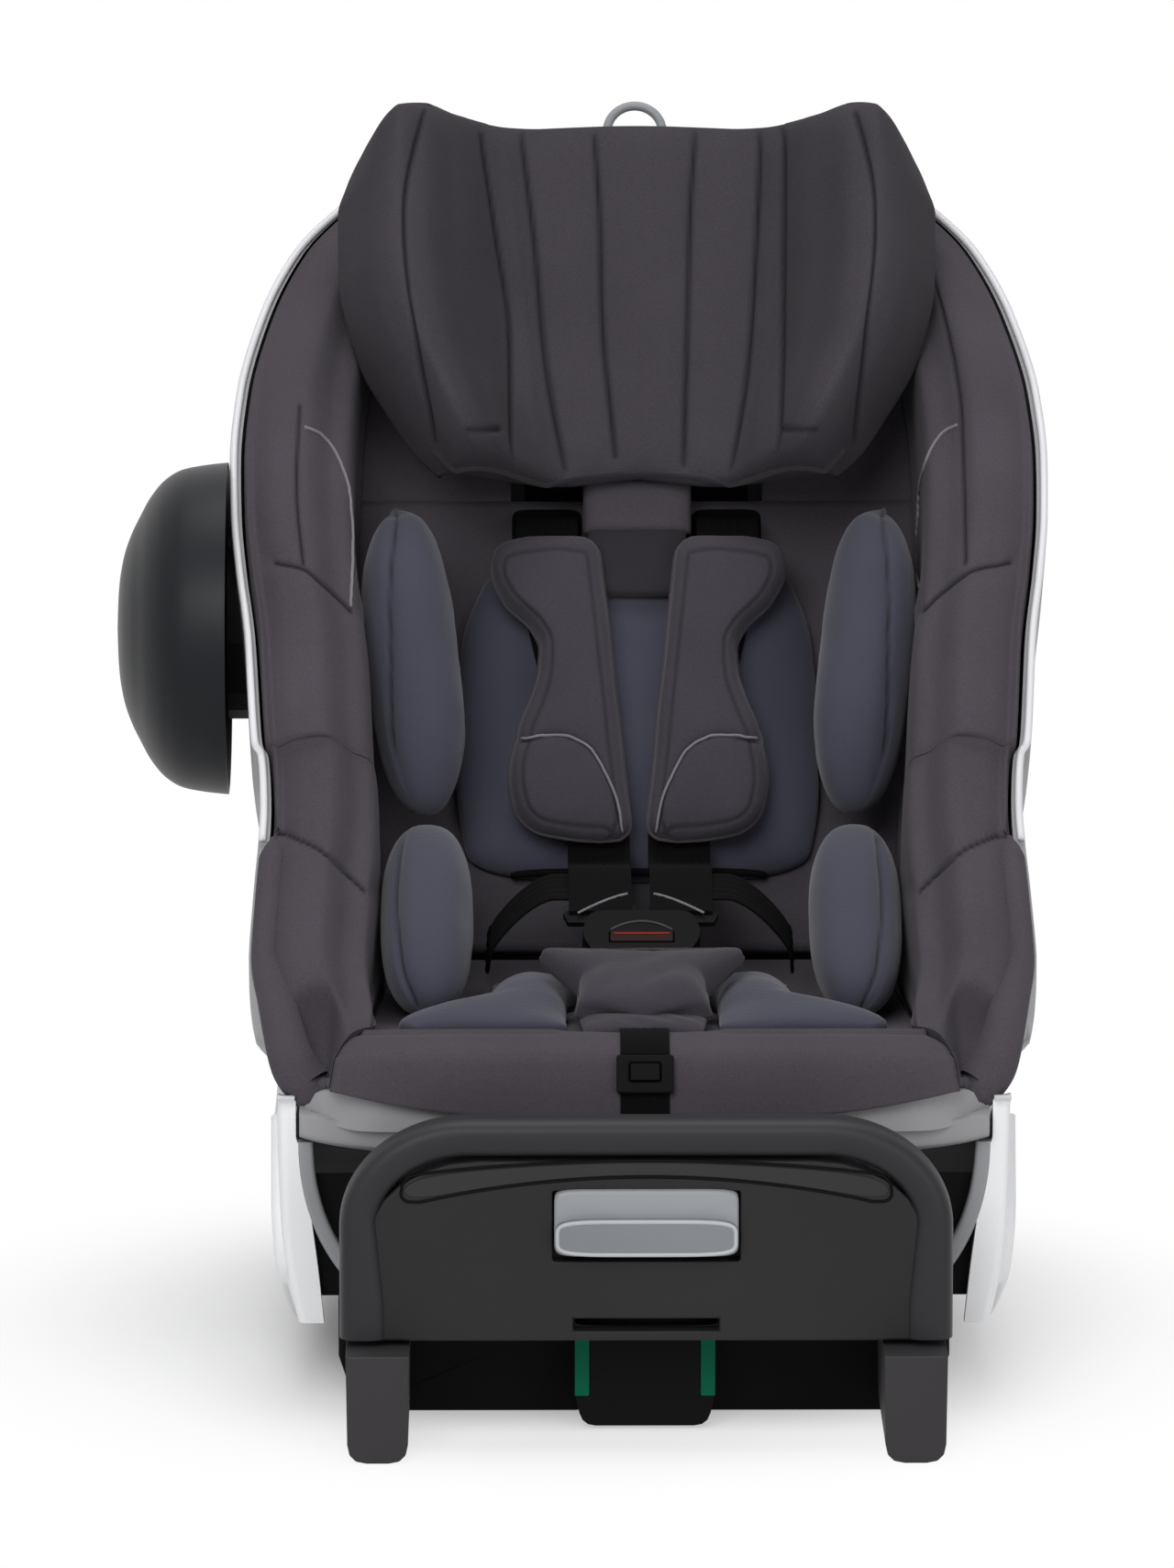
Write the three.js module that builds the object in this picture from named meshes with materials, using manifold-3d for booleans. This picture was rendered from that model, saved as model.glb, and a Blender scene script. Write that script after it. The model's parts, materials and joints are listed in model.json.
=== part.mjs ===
// Rear-facing child car seat on a base with a load leg and a rebound panel.
// Millimetres, +Z up. The child faces -Y, and +X is on the right of someone who looks at the seat's front.
// Every piece is made in the seat's own frame: x = 0 is its plane of symmetry, z = 0 the base's underside.
// The last lines move that frame so that the origin is at the middle of the underside of the whole object.

import * as THREE from 'three';
import { mergeVertices } from 'three/addons/utils/BufferGeometryUtils.js';
import Module from 'manifold-3d';

const wasm = await Module();
wasm.setup();

// General clearances and walls
const gap = 0.3;
const runningGap = 0.6;
const overrun = 4;
const weldGap = 1e-4;

// Seat: side profile of the child's side of the cover
const backAngle = 29 * Math.PI / 180;
const backLength = 484;
const bightY = 70;
const bightZ = 185;
const panLength = 260;
const crestRise = 21;
const coverThickness = 12;
const lipHeight = 24;

// Seat: shell and wings
const shellHalfWidth = 224;
const shellWall = 6;
const shellDepth = 50;
const wingRise = 167;
const wingWidth = 68;
const wingCrown = 12;
const wingClearance = 1.9;
const pipingRadius = 2.4;

// Recline: the seat rocks about an axis above the child's lap
const pivotY = -20;
const pivotZ = 560;
const rockerRadius = 451.5;
const cradleWall = 9;
const cradleSetback = 2.9786;
const cradleHalfWidth = 186;
const cradleInnerHalfWidth = 150;
const railWidth = 20;
const railCentreX = 70;
const railHeight = 7;

// Base
const baseHalfWidth = 162;
const baseSoleHalfWidth = 152;
const baseChamfer = 30;
const frameReach = 72;
const baseBack = 330;
const trayHeight = 62;
const trayWall = 6;
const trayCells = 4;
const sidePlateThickness = 12;
const sidePlateSole = 16;
const sidePlateRadius = 425;
const plateClearance = 14;
const plateCorner = 30;
const trimThickness = 6;
const trimDepth = 9;
const trimBow = 8;

// Rebound panel in front of the child's feet
const panelHalfWidth = 160;
const panelClearance = 38.08;
const panelThickness = 24;
const panelSole = 60;
const panelTop = 171;
const panelShoulderDrop = 42;
const panelShoulderRun = 58;
const rimBarWidth = 15;
const rimBarProud = 4;
const frameArmHeight = 30;
const handleHalfWidth = 47;
const handleBottom = 104;
const handleTop = 138;
const handleThickness = 12;
const handleStemThickness = 6;
const handleLip = 8;
const pocketDepth = 13;
const pocketClearance = 2;
const slotHalfWidth = 38;
const slotBottom = 65;
const slotTop = 72;

// Lower anchor connectors, at the standard spacing of vehicle anchor bars
const anchorSpacing = 280;
const armWidth = 24;
const armHeight = 28;
const armLength = 260;
const armCentreZ = 29;
const armWall = 2.5;
const mouthDepth = 24;
const mouthHeight = 9;
const hookThickness = 5;
const hookHalfHeight = 4;
const coverWidth = 33;
const coverHeight = 57;
const coverProud = 24;
const coverWall = 3;
const coverDraft = 0.8;
const coverCorner = 10;
const releaseWidth = 10;
const releaseLength = 26;
const releaseDepth = 8;

// Load leg, folded under the base
const legWidth = 60;
const legHeight = 34;
const legWall = 2.5;
const legSole = 8;
const legHingeInset = 30;
const legPinRadius = 5;
const channelClearance = 4;
const footHalfWidth = 37;
const footHeight = 52;
const footLift = 2;
const footDepth = 40;
const footDraft = 4;
const footCorner = 7;
const legButtonInset = 45;
const stripWidth = 8;
const stripHeight = 32;
const stripThickness = 2;

// Headrest
const headHalfWidth = 166;
const headBottom = 264;
const headHeight = 221;
const headDrop = 24;
const headWingDepth = 90;
const headShellThickness = 12;
const headFloor = 36;
const sliderHalfWidth = 62;
const rodRadius = 4.5;
const rodSpacing = 80;
const rodDepth = 26;
const railFoot = 14;
const openingHalfWidth = 70;
const apronHalfWidth = 30;
const openingBottom = 280;
const slotBottomV = 250;
const slotHeight = 22;
const loopRadius = 17.5;
const loopThickness = 4;
const loopLegs = 14;

// Harness
const webWidth = 34;
const webThickness = 1.8;
const webDepth = 32;
const beltTopX = 50;
const beltLowX = 22;
const padTop = 240;
const padBottom = 60;
const padDepth = 37;
const padThickness = 22;
const padReach = 89;
const padInnerTop = 22;
const padInnerBottom = 3.6;
const buckleHalfWidth = 33;
const buckleLength = 44;
const buckleThickness = 20;
const buckleCorner = 8;
const buckleTilt = 24 * Math.PI / 180;
const buckleSetback = 12;
const buckleY = bightY - 0.6 * panLength + buckleSetback;
const buckleZ = 225;
const buttonHalfWidth = 17;
const buttonLength = 9;
const buttonTravel = 3;
const tongueThickness = 3;
const tongueBlade = 14;
const tongueHead = 17;
const crotchPadLength = 0.3 * panLength;
const crotchPadTilt = 9 * Math.PI / 180;
const crotchPadTopHalfWidth = 61;
const crotchPadBottomHalfWidth = 37;
const crotchPadThickness = 13;
const adjusterHalfWidth = 15;
const adjusterLength = 20;
const adjusterThickness = 7;

// Newborn insert
const insertHalfWidth = 100;
const insertBottom = 55;
const insertTop = 246;
const insertThickness = 26;
const seatInsertHalfWidth = 138;
const seatInsertThickness = 12;
const bolsterHalfThickness = 26;
const bolsterHalfHeight = 86;
const bolsterHalfDepth = 38;
const bolsterV = 158;
const bolsterW = 72;
const hipBolsterHalfThickness = 25;
const hipBolsterHalfHeight = 64;
const hipBolsterHalfDepth = 38;
const hipBolsterLean = 36;
const hipBolsterV = -4;
const hipBolsterW = 112;

// Side impact cup on the seat's left
const cupRadius = 91;
const cupDepth = 61;
const cupStandoff = 1;
const cupBase = shellHalfWidth + cupStandoff;
const cupWall = 3;
const cupY = 90;
const cupZ = 377;
const cupMountRadius = 50;
const cupMountReach = 40;
const spigotRadius = 20;

const fabric = new THREE.MeshStandardMaterial({ color: 0x49454c, roughness: 0.95 });
const insertFabric = new THREE.MeshStandardMaterial({ color: 0x504e5a, roughness: 0.9 });
const webbing = new THREE.MeshStandardMaterial({ color: 0x100f12, roughness: 0.8 });
const blackPlastic = new THREE.MeshStandardMaterial({ color: 0x141416, roughness: 0.55 });
const darkPlastic = new THREE.MeshStandardMaterial({ color: 0x333335, roughness: 0.5 });
const legPlastic = new THREE.MeshStandardMaterial({ color: 0x424042, roughness: 0.55 });
const rimRubber = new THREE.MeshStandardMaterial({ color: 0x1d2026, roughness: 0.7 });
const shellGrey = new THREE.MeshStandardMaterial({ color: 0x8f9092, roughness: 0.55 });
const silver = new THREE.MeshStandardMaterial({ color: 0xdcdde0, roughness: 0.35, metalness: 0.3 });
const handleGrey = new THREE.MeshStandardMaterial({ color: 0x96999c, roughness: 0.4 });
const pipingSilver = new THREE.MeshStandardMaterial({ color: 0xd8d8dc, roughness: 0.4 });
const cupBlack = new THREE.MeshStandardMaterial({ color: 0x17191d, roughness: 0.45 });
const steel = new THREE.MeshStandardMaterial({ color: 0x8a8d90, roughness: 0.35, metalness: 1 });
const aluminium = new THREE.MeshStandardMaterial({ color: 0xa9abad, roughness: 0.4, metalness: 1 });
const buttonRed = new THREE.MeshStandardMaterial({ color: 0xb5231c, roughness: 0.45 });
const markerGreen = new THREE.MeshStandardMaterial({ color: 0x075f4d, roughness: 0.5 });

const seatFrame = new THREE.Group();

function add(name, geometry, material) {
  const mesh = new THREE.Mesh(geometry, material);
  mesh.name = name;
  seatFrame.add(mesh);
}

// Both sides of a pair: -1 is the left side in the photograph's view, +1 the right one.
function forSides(make) {
  [['left', -1], ['right', 1]].forEach(([word, side]) => make(word, side));
}

// A closed mesh from points and faces, turned so that its faces point out.
function closedMesh(points, faces) {
  const volume = faces.reduce((sum, [a, b, c]) => {
    const [p, q, r] = [points[a], points[b], points[c]];
    return sum
      + p[0] * (q[1] * r[2] - q[2] * r[1])
      + p[1] * (q[2] * r[0] - q[0] * r[2])
      + p[2] * (q[0] * r[1] - q[1] * r[0]);
  }, 0);
  const turned = volume < 0 ? faces.map(([a, b, c]) => [a, c, b]) : faces;
  const geometry = new THREE.BufferGeometry();
  geometry.setAttribute('position', new THREE.Float32BufferAttribute(points.flat(), 3));
  geometry.setIndex(turned.flat());
  return geometry;
}

// Rings of equal count joined in a row, with a fan over each end.
function loft(rings) {
  const count = rings[0].length;
  const points = rings.flat();
  const faces = [];
  for (let i = 0; i + 1 < rings.length; i += 1) {
    for (let j = 0; j < count; j += 1) {
      const a = i * count + j;
      const b = i * count + (j + 1) % count;
      faces.push([a, b, b + count], [a, b + count, a + count]);
    }
  }
  [[0, -1], [rings.length - 1, 1]].forEach(([end, turn]) => {
    const middle = [0, 1, 2].map((k) => rings[end].reduce((sum, p) => sum + p[k], 0) / count);
    points.push(middle);
    for (let j = 0; j < count; j += 1) {
      const a = end * count + j;
      const b = end * count + (j + 1) % count;
      faces.push(turn > 0 ? [a, b, points.length - 1] : [b, a, points.length - 1]);
    }
  });
  return closedMesh(points, faces);
}

// A skin between two grids of points: front(u, v) and back(u, v), with u and v from 0 to 1.
function slab(rows, columns, front, back) {
  const points = [];
  [front, back].forEach((face) => {
    for (let i = 0; i <= rows; i += 1) {
      for (let j = 0; j <= columns; j += 1) points.push(face(i / rows, j / columns));
    }
  });
  const width = columns + 1;
  const half = (rows + 1) * width;
  const faces = [];
  const quad = (a, b, c, d) => faces.push([a, b, c], [a, c, d]);
  for (let i = 0; i < rows; i += 1) {
    for (let j = 0; j < columns; j += 1) {
      const a = i * width + j;
      const [b, c, d] = [a + 1, a + 1 + width, a + width];
      // the diagonals of the right half mirror those of the left half
      if (2 * j < columns) {
        quad(a, b, c, d);
        quad(half + c, half + b, half + a, half + d);
      } else {
        quad(b, c, d, a);
        quad(half + d, half + c, half + b, half + a);
      }
    }
  }
  for (let j = 0; j < columns; j += 1) {
    const last = rows * width + j;
    quad(j, half + j, half + j + 1, j + 1);
    quad(last, last + 1, half + last + 1, half + last);
  }
  for (let i = 0; i < rows; i += 1) {
    const a = i * width;
    const z = i * width + columns;
    quad(a, a + width, half + a + width, half + a);
    quad(z, half + z, half + z + width, z + width);
  }
  return closedMesh(points, faces);
}

// Outlines drawn in a plane and given a thickness along the third axis, from low to high.
function extrude(outline, depth, holes = []) {
  const shape = new THREE.Shape(outline.map(([a, b]) => new THREE.Vector2(a, b)));
  holes.forEach((hole) => {
    shape.holes.push(new THREE.Path(hole.map(([a, b]) => new THREE.Vector2(a, b))));
  });
  return new THREE.ExtrudeGeometry(shape, { depth, bevelEnabled: false, curveSegments: 1 });
}

// outline in (y, z), thickness along x
function plateX(outline, low, high, holes) {
  const geometry = extrude(outline, high - low, holes);
  geometry.applyMatrix4(new THREE.Matrix4().set(0, 0, 1, low, 1, 0, 0, 0, 0, 1, 0, 0, 0, 0, 0, 1));
  return geometry;
}

// outline in (x, z), thickness along y
function plateY(outline, low, high, holes) {
  const geometry = extrude(outline, high - low, holes);
  geometry.applyMatrix4(new THREE.Matrix4().set(1, 0, 0, 0, 0, 0, -1, high, 0, 1, 0, 0, 0, 0, 0, 1));
  return geometry;
}

function block(lowX, highX, lowY, highY, lowZ, highZ) {
  return plateX([[lowY, lowZ], [highY, lowZ], [highY, highZ], [lowY, highZ]], lowX, highX);
}

// A bar along x with a regular section
function rodX(radius, lowX, highX, y, z, sides = 12) {
  return plateX(circle(radius, y, z, sides), lowX, highX);
}

function circle(radius, a, b, sides) {
  return Array.from({ length: sides }, (_, k) => {
    const turn = (k + 0.5) / sides * 2 * Math.PI;
    return [a + radius * Math.cos(turn), b + radius * Math.sin(turn)];
  });
}

// A polygon with its corners rounded, in order round the outline.
function rounded(corners, radii, steps = 3) {
  return corners.flatMap((corner, k) => {
    const count = corners.length;
    const before = corners[(k + count - 1) % count];
    const after = corners[(k + 1) % count];
    const radius = Array.isArray(radii) ? radii[k] : radii;
    if (radius === 0) return [corner];
    const toward = (other) => {
      const length = Math.hypot(other[0] - corner[0], other[1] - corner[1]);
      const reach = Math.min(radius, length / 2 - gap / 2);
      return [0, 1].map((n) => corner[n] + (other[n] - corner[n]) / length * reach);
    };
    const start = toward(before);
    const end = toward(after);
    return Array.from({ length: steps + 1 }, (_, s) => {
      const t = s / steps;
      return [0, 1].map((n) => (1 - t) ** 2 * start[n] + 2 * t * (1 - t) * corner[n] + t * t * end[n]);
    });
  });
}

function mirrored(outline) {
  return outline.map(([a, b]) => [-a, b]).reverse();
}

function solid(geometry) {
  const bare = new THREE.BufferGeometry();
  bare.setAttribute('position', geometry.getAttribute('position').clone());
  if (geometry.index) bare.setIndex(geometry.index.clone());
  const merged = mergeVertices(bare, weldGap);
  return new wasm.Manifold(new wasm.Mesh({
    numProp: 3,
    vertProperties: new Float32Array(merged.getAttribute('position').array),
    triVerts: new Uint32Array(merged.index.array),
  }));
}

function fromSolid(result) {
  const mesh = result.getMesh();
  const geometry = new THREE.BufferGeometry();
  geometry.setAttribute('position', new THREE.Float32BufferAttribute(mesh.vertProperties, 3));
  geometry.setIndex(Array.from(mesh.triVerts));
  return geometry;
}

function cut(body, ...tools) {
  return fromSolid(tools.reduce((rest, tool) => rest.subtract(solid(tool)), solid(body)));
}

function join(...bodies) {
  return fromSolid(bodies.slice(1).reduce((whole, body) => whole.add(solid(body)), solid(bodies[0])));
}

function inOrder(a, b) {
  return a < b ? [a, b] : [b, a];
}

function mix(a, b, t) {
  return a + (b - a) * t;
}

// A value read from a list of [place, value] pairs, straight between them.
function along(pairs, place) {
  const next = Math.min(Math.max(pairs.findIndex(([at]) => at >= place), 1), pairs.length - 1);
  const last = place > pairs[pairs.length - 1][0];
  const [a, b] = last ? pairs.slice(-2) : [pairs[next - 1], pairs[next]];
  return mix(a[1], b[1], (place - a[0]) / (b[0] - a[0]));
}

// The back's own frame: v runs up the back from the bight, w stands out of it towards the child.
const backUp = [Math.sin(backAngle), Math.cos(backAngle)];
const backOut = [-Math.cos(backAngle), Math.sin(backAngle)];

function back(x, v, w) {
  return [x, bightY + v * backUp[0] + w * backOut[0], bightZ + v * backUp[1] + w * backOut[1]];
}

// Moves a solid drawn as (x, w, v), in the order x, y, z, into the back's frame.
function onBack(geometry) {
  geometry.applyMatrix4(new THREE.Matrix4().set(
    1, 0, 0, 0,
    0, -backOut[0], backUp[0], bightY,
    0, -backOut[1], backUp[1], bightZ,
    0, 0, 0, 1,
  ));
  return geometry;
}

// An outline in (x, v) of the back, from depth w low to w high.
function backPlate(outline, low, high) {
  return onBack(plateY(outline, -high, -low));
}

function backBlock(lowX, highX, lowV, highV, lowW, highW) {
  return backPlate([[lowX, lowV], [highX, lowV], [highX, highV], [lowX, highV]], lowW, highW);
}

// Stations of the tub, from the front lip to the top of the back. Each has three lines: the floor is the
// child's side of the cover on the seat's middle, the rim is where shell and cover end at the side, and the
// keel is the middle of the shell's outside. Each station also has its half-width and its wing's width.
// On the pan: shares of panLength and crestRise for the floor, of panLength and wingRise for the rim, then
// the keel's angle round the recline axis in degrees, and the shares of shellHalfWidth and wingWidth.
const panShares = [
  [1.092, -0.9, 0.965, -0.105, -24.6, 0.82, 0.26],
  [1.062, 0.6, 0.952, -0.06, -23.4, 0.85, 0.42],
  [1.0, 1.0, 0.935, 0.0, -22.2, 0.885, 0.66],
  [0.808, 0.57, 0.808, 0.168, -16.7, 0.92, 0.92],
  [0.596, 0.33, 0.692, 0.281, -10.2, 0.938, 0.94],
  [0.365, 0.14, 0.577, 0.461, -2.5, 0.929, 0.95],
  [0.154, 0.05, 0.442, 0.677, 6.4, 0.916, 0.95],
  [0.0, 0.5, 0.365, 0.838, 15.4, 0.924, 0.96],
];

// On the back: shares of backLength up the back for the floor, of backLength and wingRise for the rim, of
// backLength and shellDepth for the keel, then the shares of shellHalfWidth and wingWidth.
const backShares = [
  [0.11, 0.17, 0.92, 0.05, -1.9, 0.938, 0.98],
  [0.21, 0.311, 0.843, 0.15, -2.05, 0.96, 1.0],
  [0.3, 0.391, 0.8, 0.275, -1.58, 0.982, 1.0],
  [0.4, 0.465, 0.746, 0.415, -1.25, 0.996, 1.0],
  [0.5, 0.545, 0.671, 0.555, -1.06, 1.0, 1.0],
  [0.62, 0.634, 0.574, 0.69, -1.0, 0.987, 0.98],
  [0.76, 0.752, 0.37, 0.82, -0.98, 0.94, 0.94],
  [0.88, 0.856, 0.225, 0.92, -0.95, 0.855, 0.9],
  [0.98, 0.961, 0.105, 1.0, -0.9, 0.67, 0.85],
];

// The first stations make the front lip. The powers are those of the shell's rounded section, there and
// elsewhere.
const lipStations = 3;
const frontBoxShare = 5;
const boxShare = 3;

function rockerPoint(degrees, radius) {
  const angle = degrees * Math.PI / 180;
  return [pivotY + radius * Math.sin(angle), pivotZ - radius * Math.cos(angle)];
}

const stations = [
  ...panShares.map(([floorAt, floorUp, rimAt, rimUp, angle, wide, wing], k) => ({
    floor: [bightY - floorAt * panLength, bightZ + floorUp * crestRise],
    rim: [bightY - rimAt * panLength, bightZ + rimUp * wingRise],
    keel: rockerPoint(angle, k === 0 ? rockerRadius - lipHeight / 2 : rockerRadius),
    halfWidth: wide * shellHalfWidth,
    wing: wing * wingWidth,
    box: k < lipStations ? frontBoxShare : boxShare,
  })),
  ...backShares.map(([floorAt, rimAt, rimOut, keelAt, keelOut, wide, wing]) => ({
    floor: back(0, floorAt * backLength, 0).slice(1),
    rim: back(0, rimAt * backLength, rimOut * wingRise).slice(1),
    keel: back(0, keelAt * backLength, keelOut * shellDepth).slice(1),
    halfWidth: wide * shellHalfWidth,
    wing: wing * wingWidth,
    box: boxShare,
  })),
];

const lastStation = stations.length - 1;

// The rebound panel stands clear of the front roll, the connectors' caps stand out before the panel, and
// the panel's frame reaches back to the base.
const panelFront = -stations[0].floor[0] + panelClearance + panelThickness;
const coverFront = panelFront + coverProud;
const baseFront = panelFront - panelThickness - frameReach;

// A station at any place between the numbered ones.
function station(place) {
  const low = Math.min(Math.floor(place), lastStation - 1);
  const t = place - low;
  const [a, b] = [stations[low], stations[low + 1]];
  const pair = (key) => [mix(a[key][0], b[key][0], t), mix(a[key][1], b[key][1], t)];
  return {
    floor: pair('floor'),
    rim: pair('rim'),
    keel: pair('keel'),
    halfWidth: mix(a.halfWidth, b.halfWidth, t),
    wing: mix(a.wing, b.wing, t),
    box: mix(a.box, b.box, t),
  };
}

const flatShare = 0.2;

// The shell's outside at a station, moved in by inset. spread runs from 0 at the keel to 1 at the rim, and
// the section between them is a rounded box, a superellipse, which is squarer at the front lip. Where the
// section passes between the side plates it stays inside them.
function shellPoint(at, spread, side, inset) {
  const { rim, keel, halfWidth } = at;
  const length = Math.hypot(rim[0] - keel[0], rim[1] - keel[1]);
  const start = [0, 1].map((n) => keel[n] + (rim[n] - keel[n]) / length * inset);
  const angle = spread * Math.PI / 2;
  const out = Math.sin(angle) ** (2 / at.box);
  const up = spread > flatShare ? 1 - Math.cos(angle) ** (2 / at.box) : 0;
  const [y, z] = [mix(start[0], rim[0], up), mix(start[1], rim[1], up)];
  const above = sidePlateRadius - plateClearance - inset - Math.hypot(y - pivotY, z - pivotZ);
  const wide = Math.min(halfWidth * out, cradleHalfWidth - overrun + Math.max(above, 0));
  return [side * (wide - inset * out), y, z];
}

const spreadShares = [1, 0.88, 0.74, 0.58, 0.4, 0.2, 0];

function seatShell() {
  const columns = 2 * spreadShares.length - 2;
  const face = (inset) => (u, v) => {
    const place = Math.round(v * columns);
    const fromRim = Math.min(place, columns - place);
    const side = place <= columns / 2 ? -1 : 1;
    return shellPoint(stations[Math.round(u * lastStation)], spreadShares[fromRim], side, inset);
  };
  return slab(lastStation, columns, face(0), face(shellWall));
}

// The side cover ends a seam's width before the wing's cover begins.
const seatPlaces = panShares.map((_, k) => k);
const seamPlace = panShares.length - 0.5;
const seamShare = 0.03;
const sidePlaces = [...seatPlaces, seamPlace - seamShare];
const wingPlaces = [seamPlace, ...stations.map((_, k) => k).filter((k) => k > seamPlace)];

// The padded bar along one side of the tub: a straight inner wall, a crowned front face and the shell behind.
function wingBar(side, places) {
  const wallShares = [[0, 0.03], [0, 0.35], [0, 0.7], [0.03, 0.93], [0.2, 1.0]];
  const crownShares = [[0.45, 1.0], [0.72, 0.85], [0.9, 0.35]];
  const behindShares = spreadShares.slice(0, 4);
  const rings = places.map((place) => {
    // the shell twists most round the front lip, so the cover stands a little further off it there
    const inset = shellWall + wingClearance * (place < lipStations ? 2 : 1);
    const at = station(place);
    const inner = at.halfWidth - at.wing;
    const length = Math.hypot(at.rim[0] - at.floor[0], at.rim[1] - at.floor[1]);
    const up = [0, 1].map((n) => (at.rim[n] - at.floor[n]) / length);
    const outer = at.halfWidth - inset;
    const wall = wallShares.map(([across, rise]) => {
      const x = inner + gap + across * at.wing;
      return [side * x, mix(at.floor[0], at.rim[0], rise), mix(at.floor[1], at.rim[1], rise)];
    });
    const crown = crownShares.map(([across, rise]) => {
      const x = mix(inner, outer, across);
      return [side * x, ...[0, 1].map((n) => at.rim[n] + up[n] * rise * wingCrown)];
    });
    const behind = behindShares.map((spread) => shellPoint(at, spread, side, inset));
    return [...wall, ...crown, ...behind];
  });
  return loft(rings);
}

// The seat's cover on the pan and over the front roll.
function coverSeat() {
  const places = seatPlaces;
  const width = (at) => at.halfWidth - at.wing - gap;
  const below = (k) => {
    const at = station(places[k]);
    const before = station(Math.max(places[k] - 0.5, 0));
    const after = station(Math.min(places[k] + 0.5, places[places.length - 1]));
    const run = [after.floor[0] - before.floor[0], after.floor[1] - before.floor[1]];
    const length = Math.hypot(...run);
    return [at.floor[0] + run[1] / length * coverThickness, at.floor[1] - run[0] / length * coverThickness];
  };
  const columns = 6;
  const front = (u, v) => {
    const at = station(places[Math.round(u * (places.length - 1))]);
    return [mix(-1, 1, v) * width(at), ...at.floor];
  };
  const behind = (u, v) => {
    const k = Math.round(u * (places.length - 1));
    const half = width(station(Math.min(places[k] + 1.3, places[places.length - 1])));
    return [mix(-1, 1, v) * half, ...below(k)];
  };
  return slab(places.length - 1, columns, front, behind);
}

function coverBack() {
  const placesUp = [[0, panShares.length - 1], ...backShares.map(([up], k) => [up, panShares.length + k])];
  const heightShares = [0.035, 0.11, 0.21, 0.4, 0.62, 0.76, 0.88, 0.97];
  const width = (share) => {
    const at = station(along(placesUp, share));
    return at.halfWidth - at.wing - gap;
  };
  const right = heightShares.map((share) => [width(share), share * backLength]);
  const sheet = backPlate([...right, ...mirrored(right)], -coverThickness, 0);
  const top = heightShares[heightShares.length - 1] * backLength + overrun;
  const opening = backBlock(
    -openingHalfWidth, openingHalfWidth, openingBottom, top, -coverThickness - overrun, overrun,
  );
  const slots = [-1, 1].map((side) => {
    const [a, b] = [-1, 1].map((edge) => side * beltTopX + edge * (webWidth / 2 + runningGap));
    return backBlock(a, b, slotBottomV, slotBottomV + slotHeight, -coverThickness - overrun, overrun);
  });
  return cut(sheet, opening, ...slots);
}

function rimPiping(side) {
  const rings = Array.from({ length: 2 * lastStation - 1 }, (_, k) => {
    const at = station(1 + k / 2);
    const length = Math.hypot(at.rim[0] - at.floor[0], at.rim[1] - at.floor[1]);
    const up = [0, 1].map((n) => (at.rim[n] - at.floor[n]) / length);
    const x = side * (at.halfWidth - pipingRadius);
    return circle(pipingRadius, 0, 0, 6).map(([across, rise]) => [
      x + across,
      at.rim[0] + up[0] * (rise + pipingRadius + gap),
      at.rim[1] + up[1] * (rise + pipingRadius + gap),
    ]);
  });
  return loft(rings);
}

// Soft pad: an outline given as two edges in the (x, v) plane of the back, crowned in front.
function pad(rows, columns, edge, from, thickness, edgeShare = 0.3) {
  const height = (u, v) => {
    const crown = Math.sqrt((1 - (2 * u - 1) ** 4) * (1 - (2 * v - 1) ** 4));
    return from + thickness * (edgeShare + (1 - edgeShare) * crown);
  };
  const place = (u, v, w) => {
    const [inner, outer, at] = edge(u);
    return back(mix(inner, outer, v), at, w);
  };
  return slab(rows, columns, (u, v) => place(u, v, height(u, v)), (u, v) => place(u, v, from));
}

// Headrest outline: half-width as a share of headHalfWidth against the share of its height.
const headOutlineShares = [
  [0, 0.66], [0.06, 0.74], [0.17, 0.83], [0.3, 0.92], [0.43, 0.97], [0.55, 0.995], [0.75, 1.0],
  [0.83, 0.972], [0.88, 0.948], [0.93, 0.915], [1, 0.83],
];

// Headrest section from the middle to the silhouette: shares of headHalfWidth across, then how far the front
// and the back of the padding stand out, as shares of headWingDepth in front of headFloor.
const headSectionShares = [
  [0, 0.27, 0], [0.15, 0.27, 0], [0.31, 0.29, 0.01], [0.43, 0.4, 0.03], [0.6, 0.84, 0.09],
  [0.71, 1.18, 0.15], [0.79, 1.27, 0.22], [0.88, 1.13, 0.31], [0.955, 0.82, 0.4], [1, 0.55, 0.46],
];

const hipShare = 0.79;

function headPoint(side, k, u, front) {
  const [across, out, behind] = headSectionShares[k];
  const roundEnds = 1 - 0.1 * (2 * u - 1) ** 6;
  const outline = along(headOutlineShares, u);
  const ridge = u > 0.75 ? 1 : outline;
  const beyond = (across - hipShare) / (1 - hipShare);
  const width = beyond > 0 ? mix(hipShare * ridge, outline, beyond) : across * ridge;
  const x = side * width * headHalfWidth;
  const w = headFloor + (front ? out * roundEnds : behind) * headWingDepth;
  const standing = Math.max(0, Math.min(1, across / hipShare));
  const low = headBottom + headDrop * (1 - standing) / 2;
  const high = headBottom + headHeight + headDrop / 4 - headDrop * standing ** 2;
  return back(x, mix(low, high, u), w);
}

const headRowCount = 9;
const headSplitCount = 3;

function headrestPad() {
  const face = (front) => (u, v) => {
    const place = Math.round(v * 2 * headSplitCount);
    const side = place < headSplitCount ? -1 : 1;
    return headPoint(side, Math.abs(place - headSplitCount), u, front);
  };
  return slab(headRowCount, 2 * headSplitCount, face(true), face(false));
}

function headrestWing(side) {
  const columns = headSectionShares.length - 1 - headSplitCount;
  const face = (front) => (u, v) => {
    const [x, y, z] = headPoint(side, headSplitCount + Math.round(v * columns), u, front);
    return [x + side * gap, y, z];
  };
  return slab(headRowCount, columns, face(true), face(false));
}

const insetShare = 0.08;
const sliderTopShare = 0.97;

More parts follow.
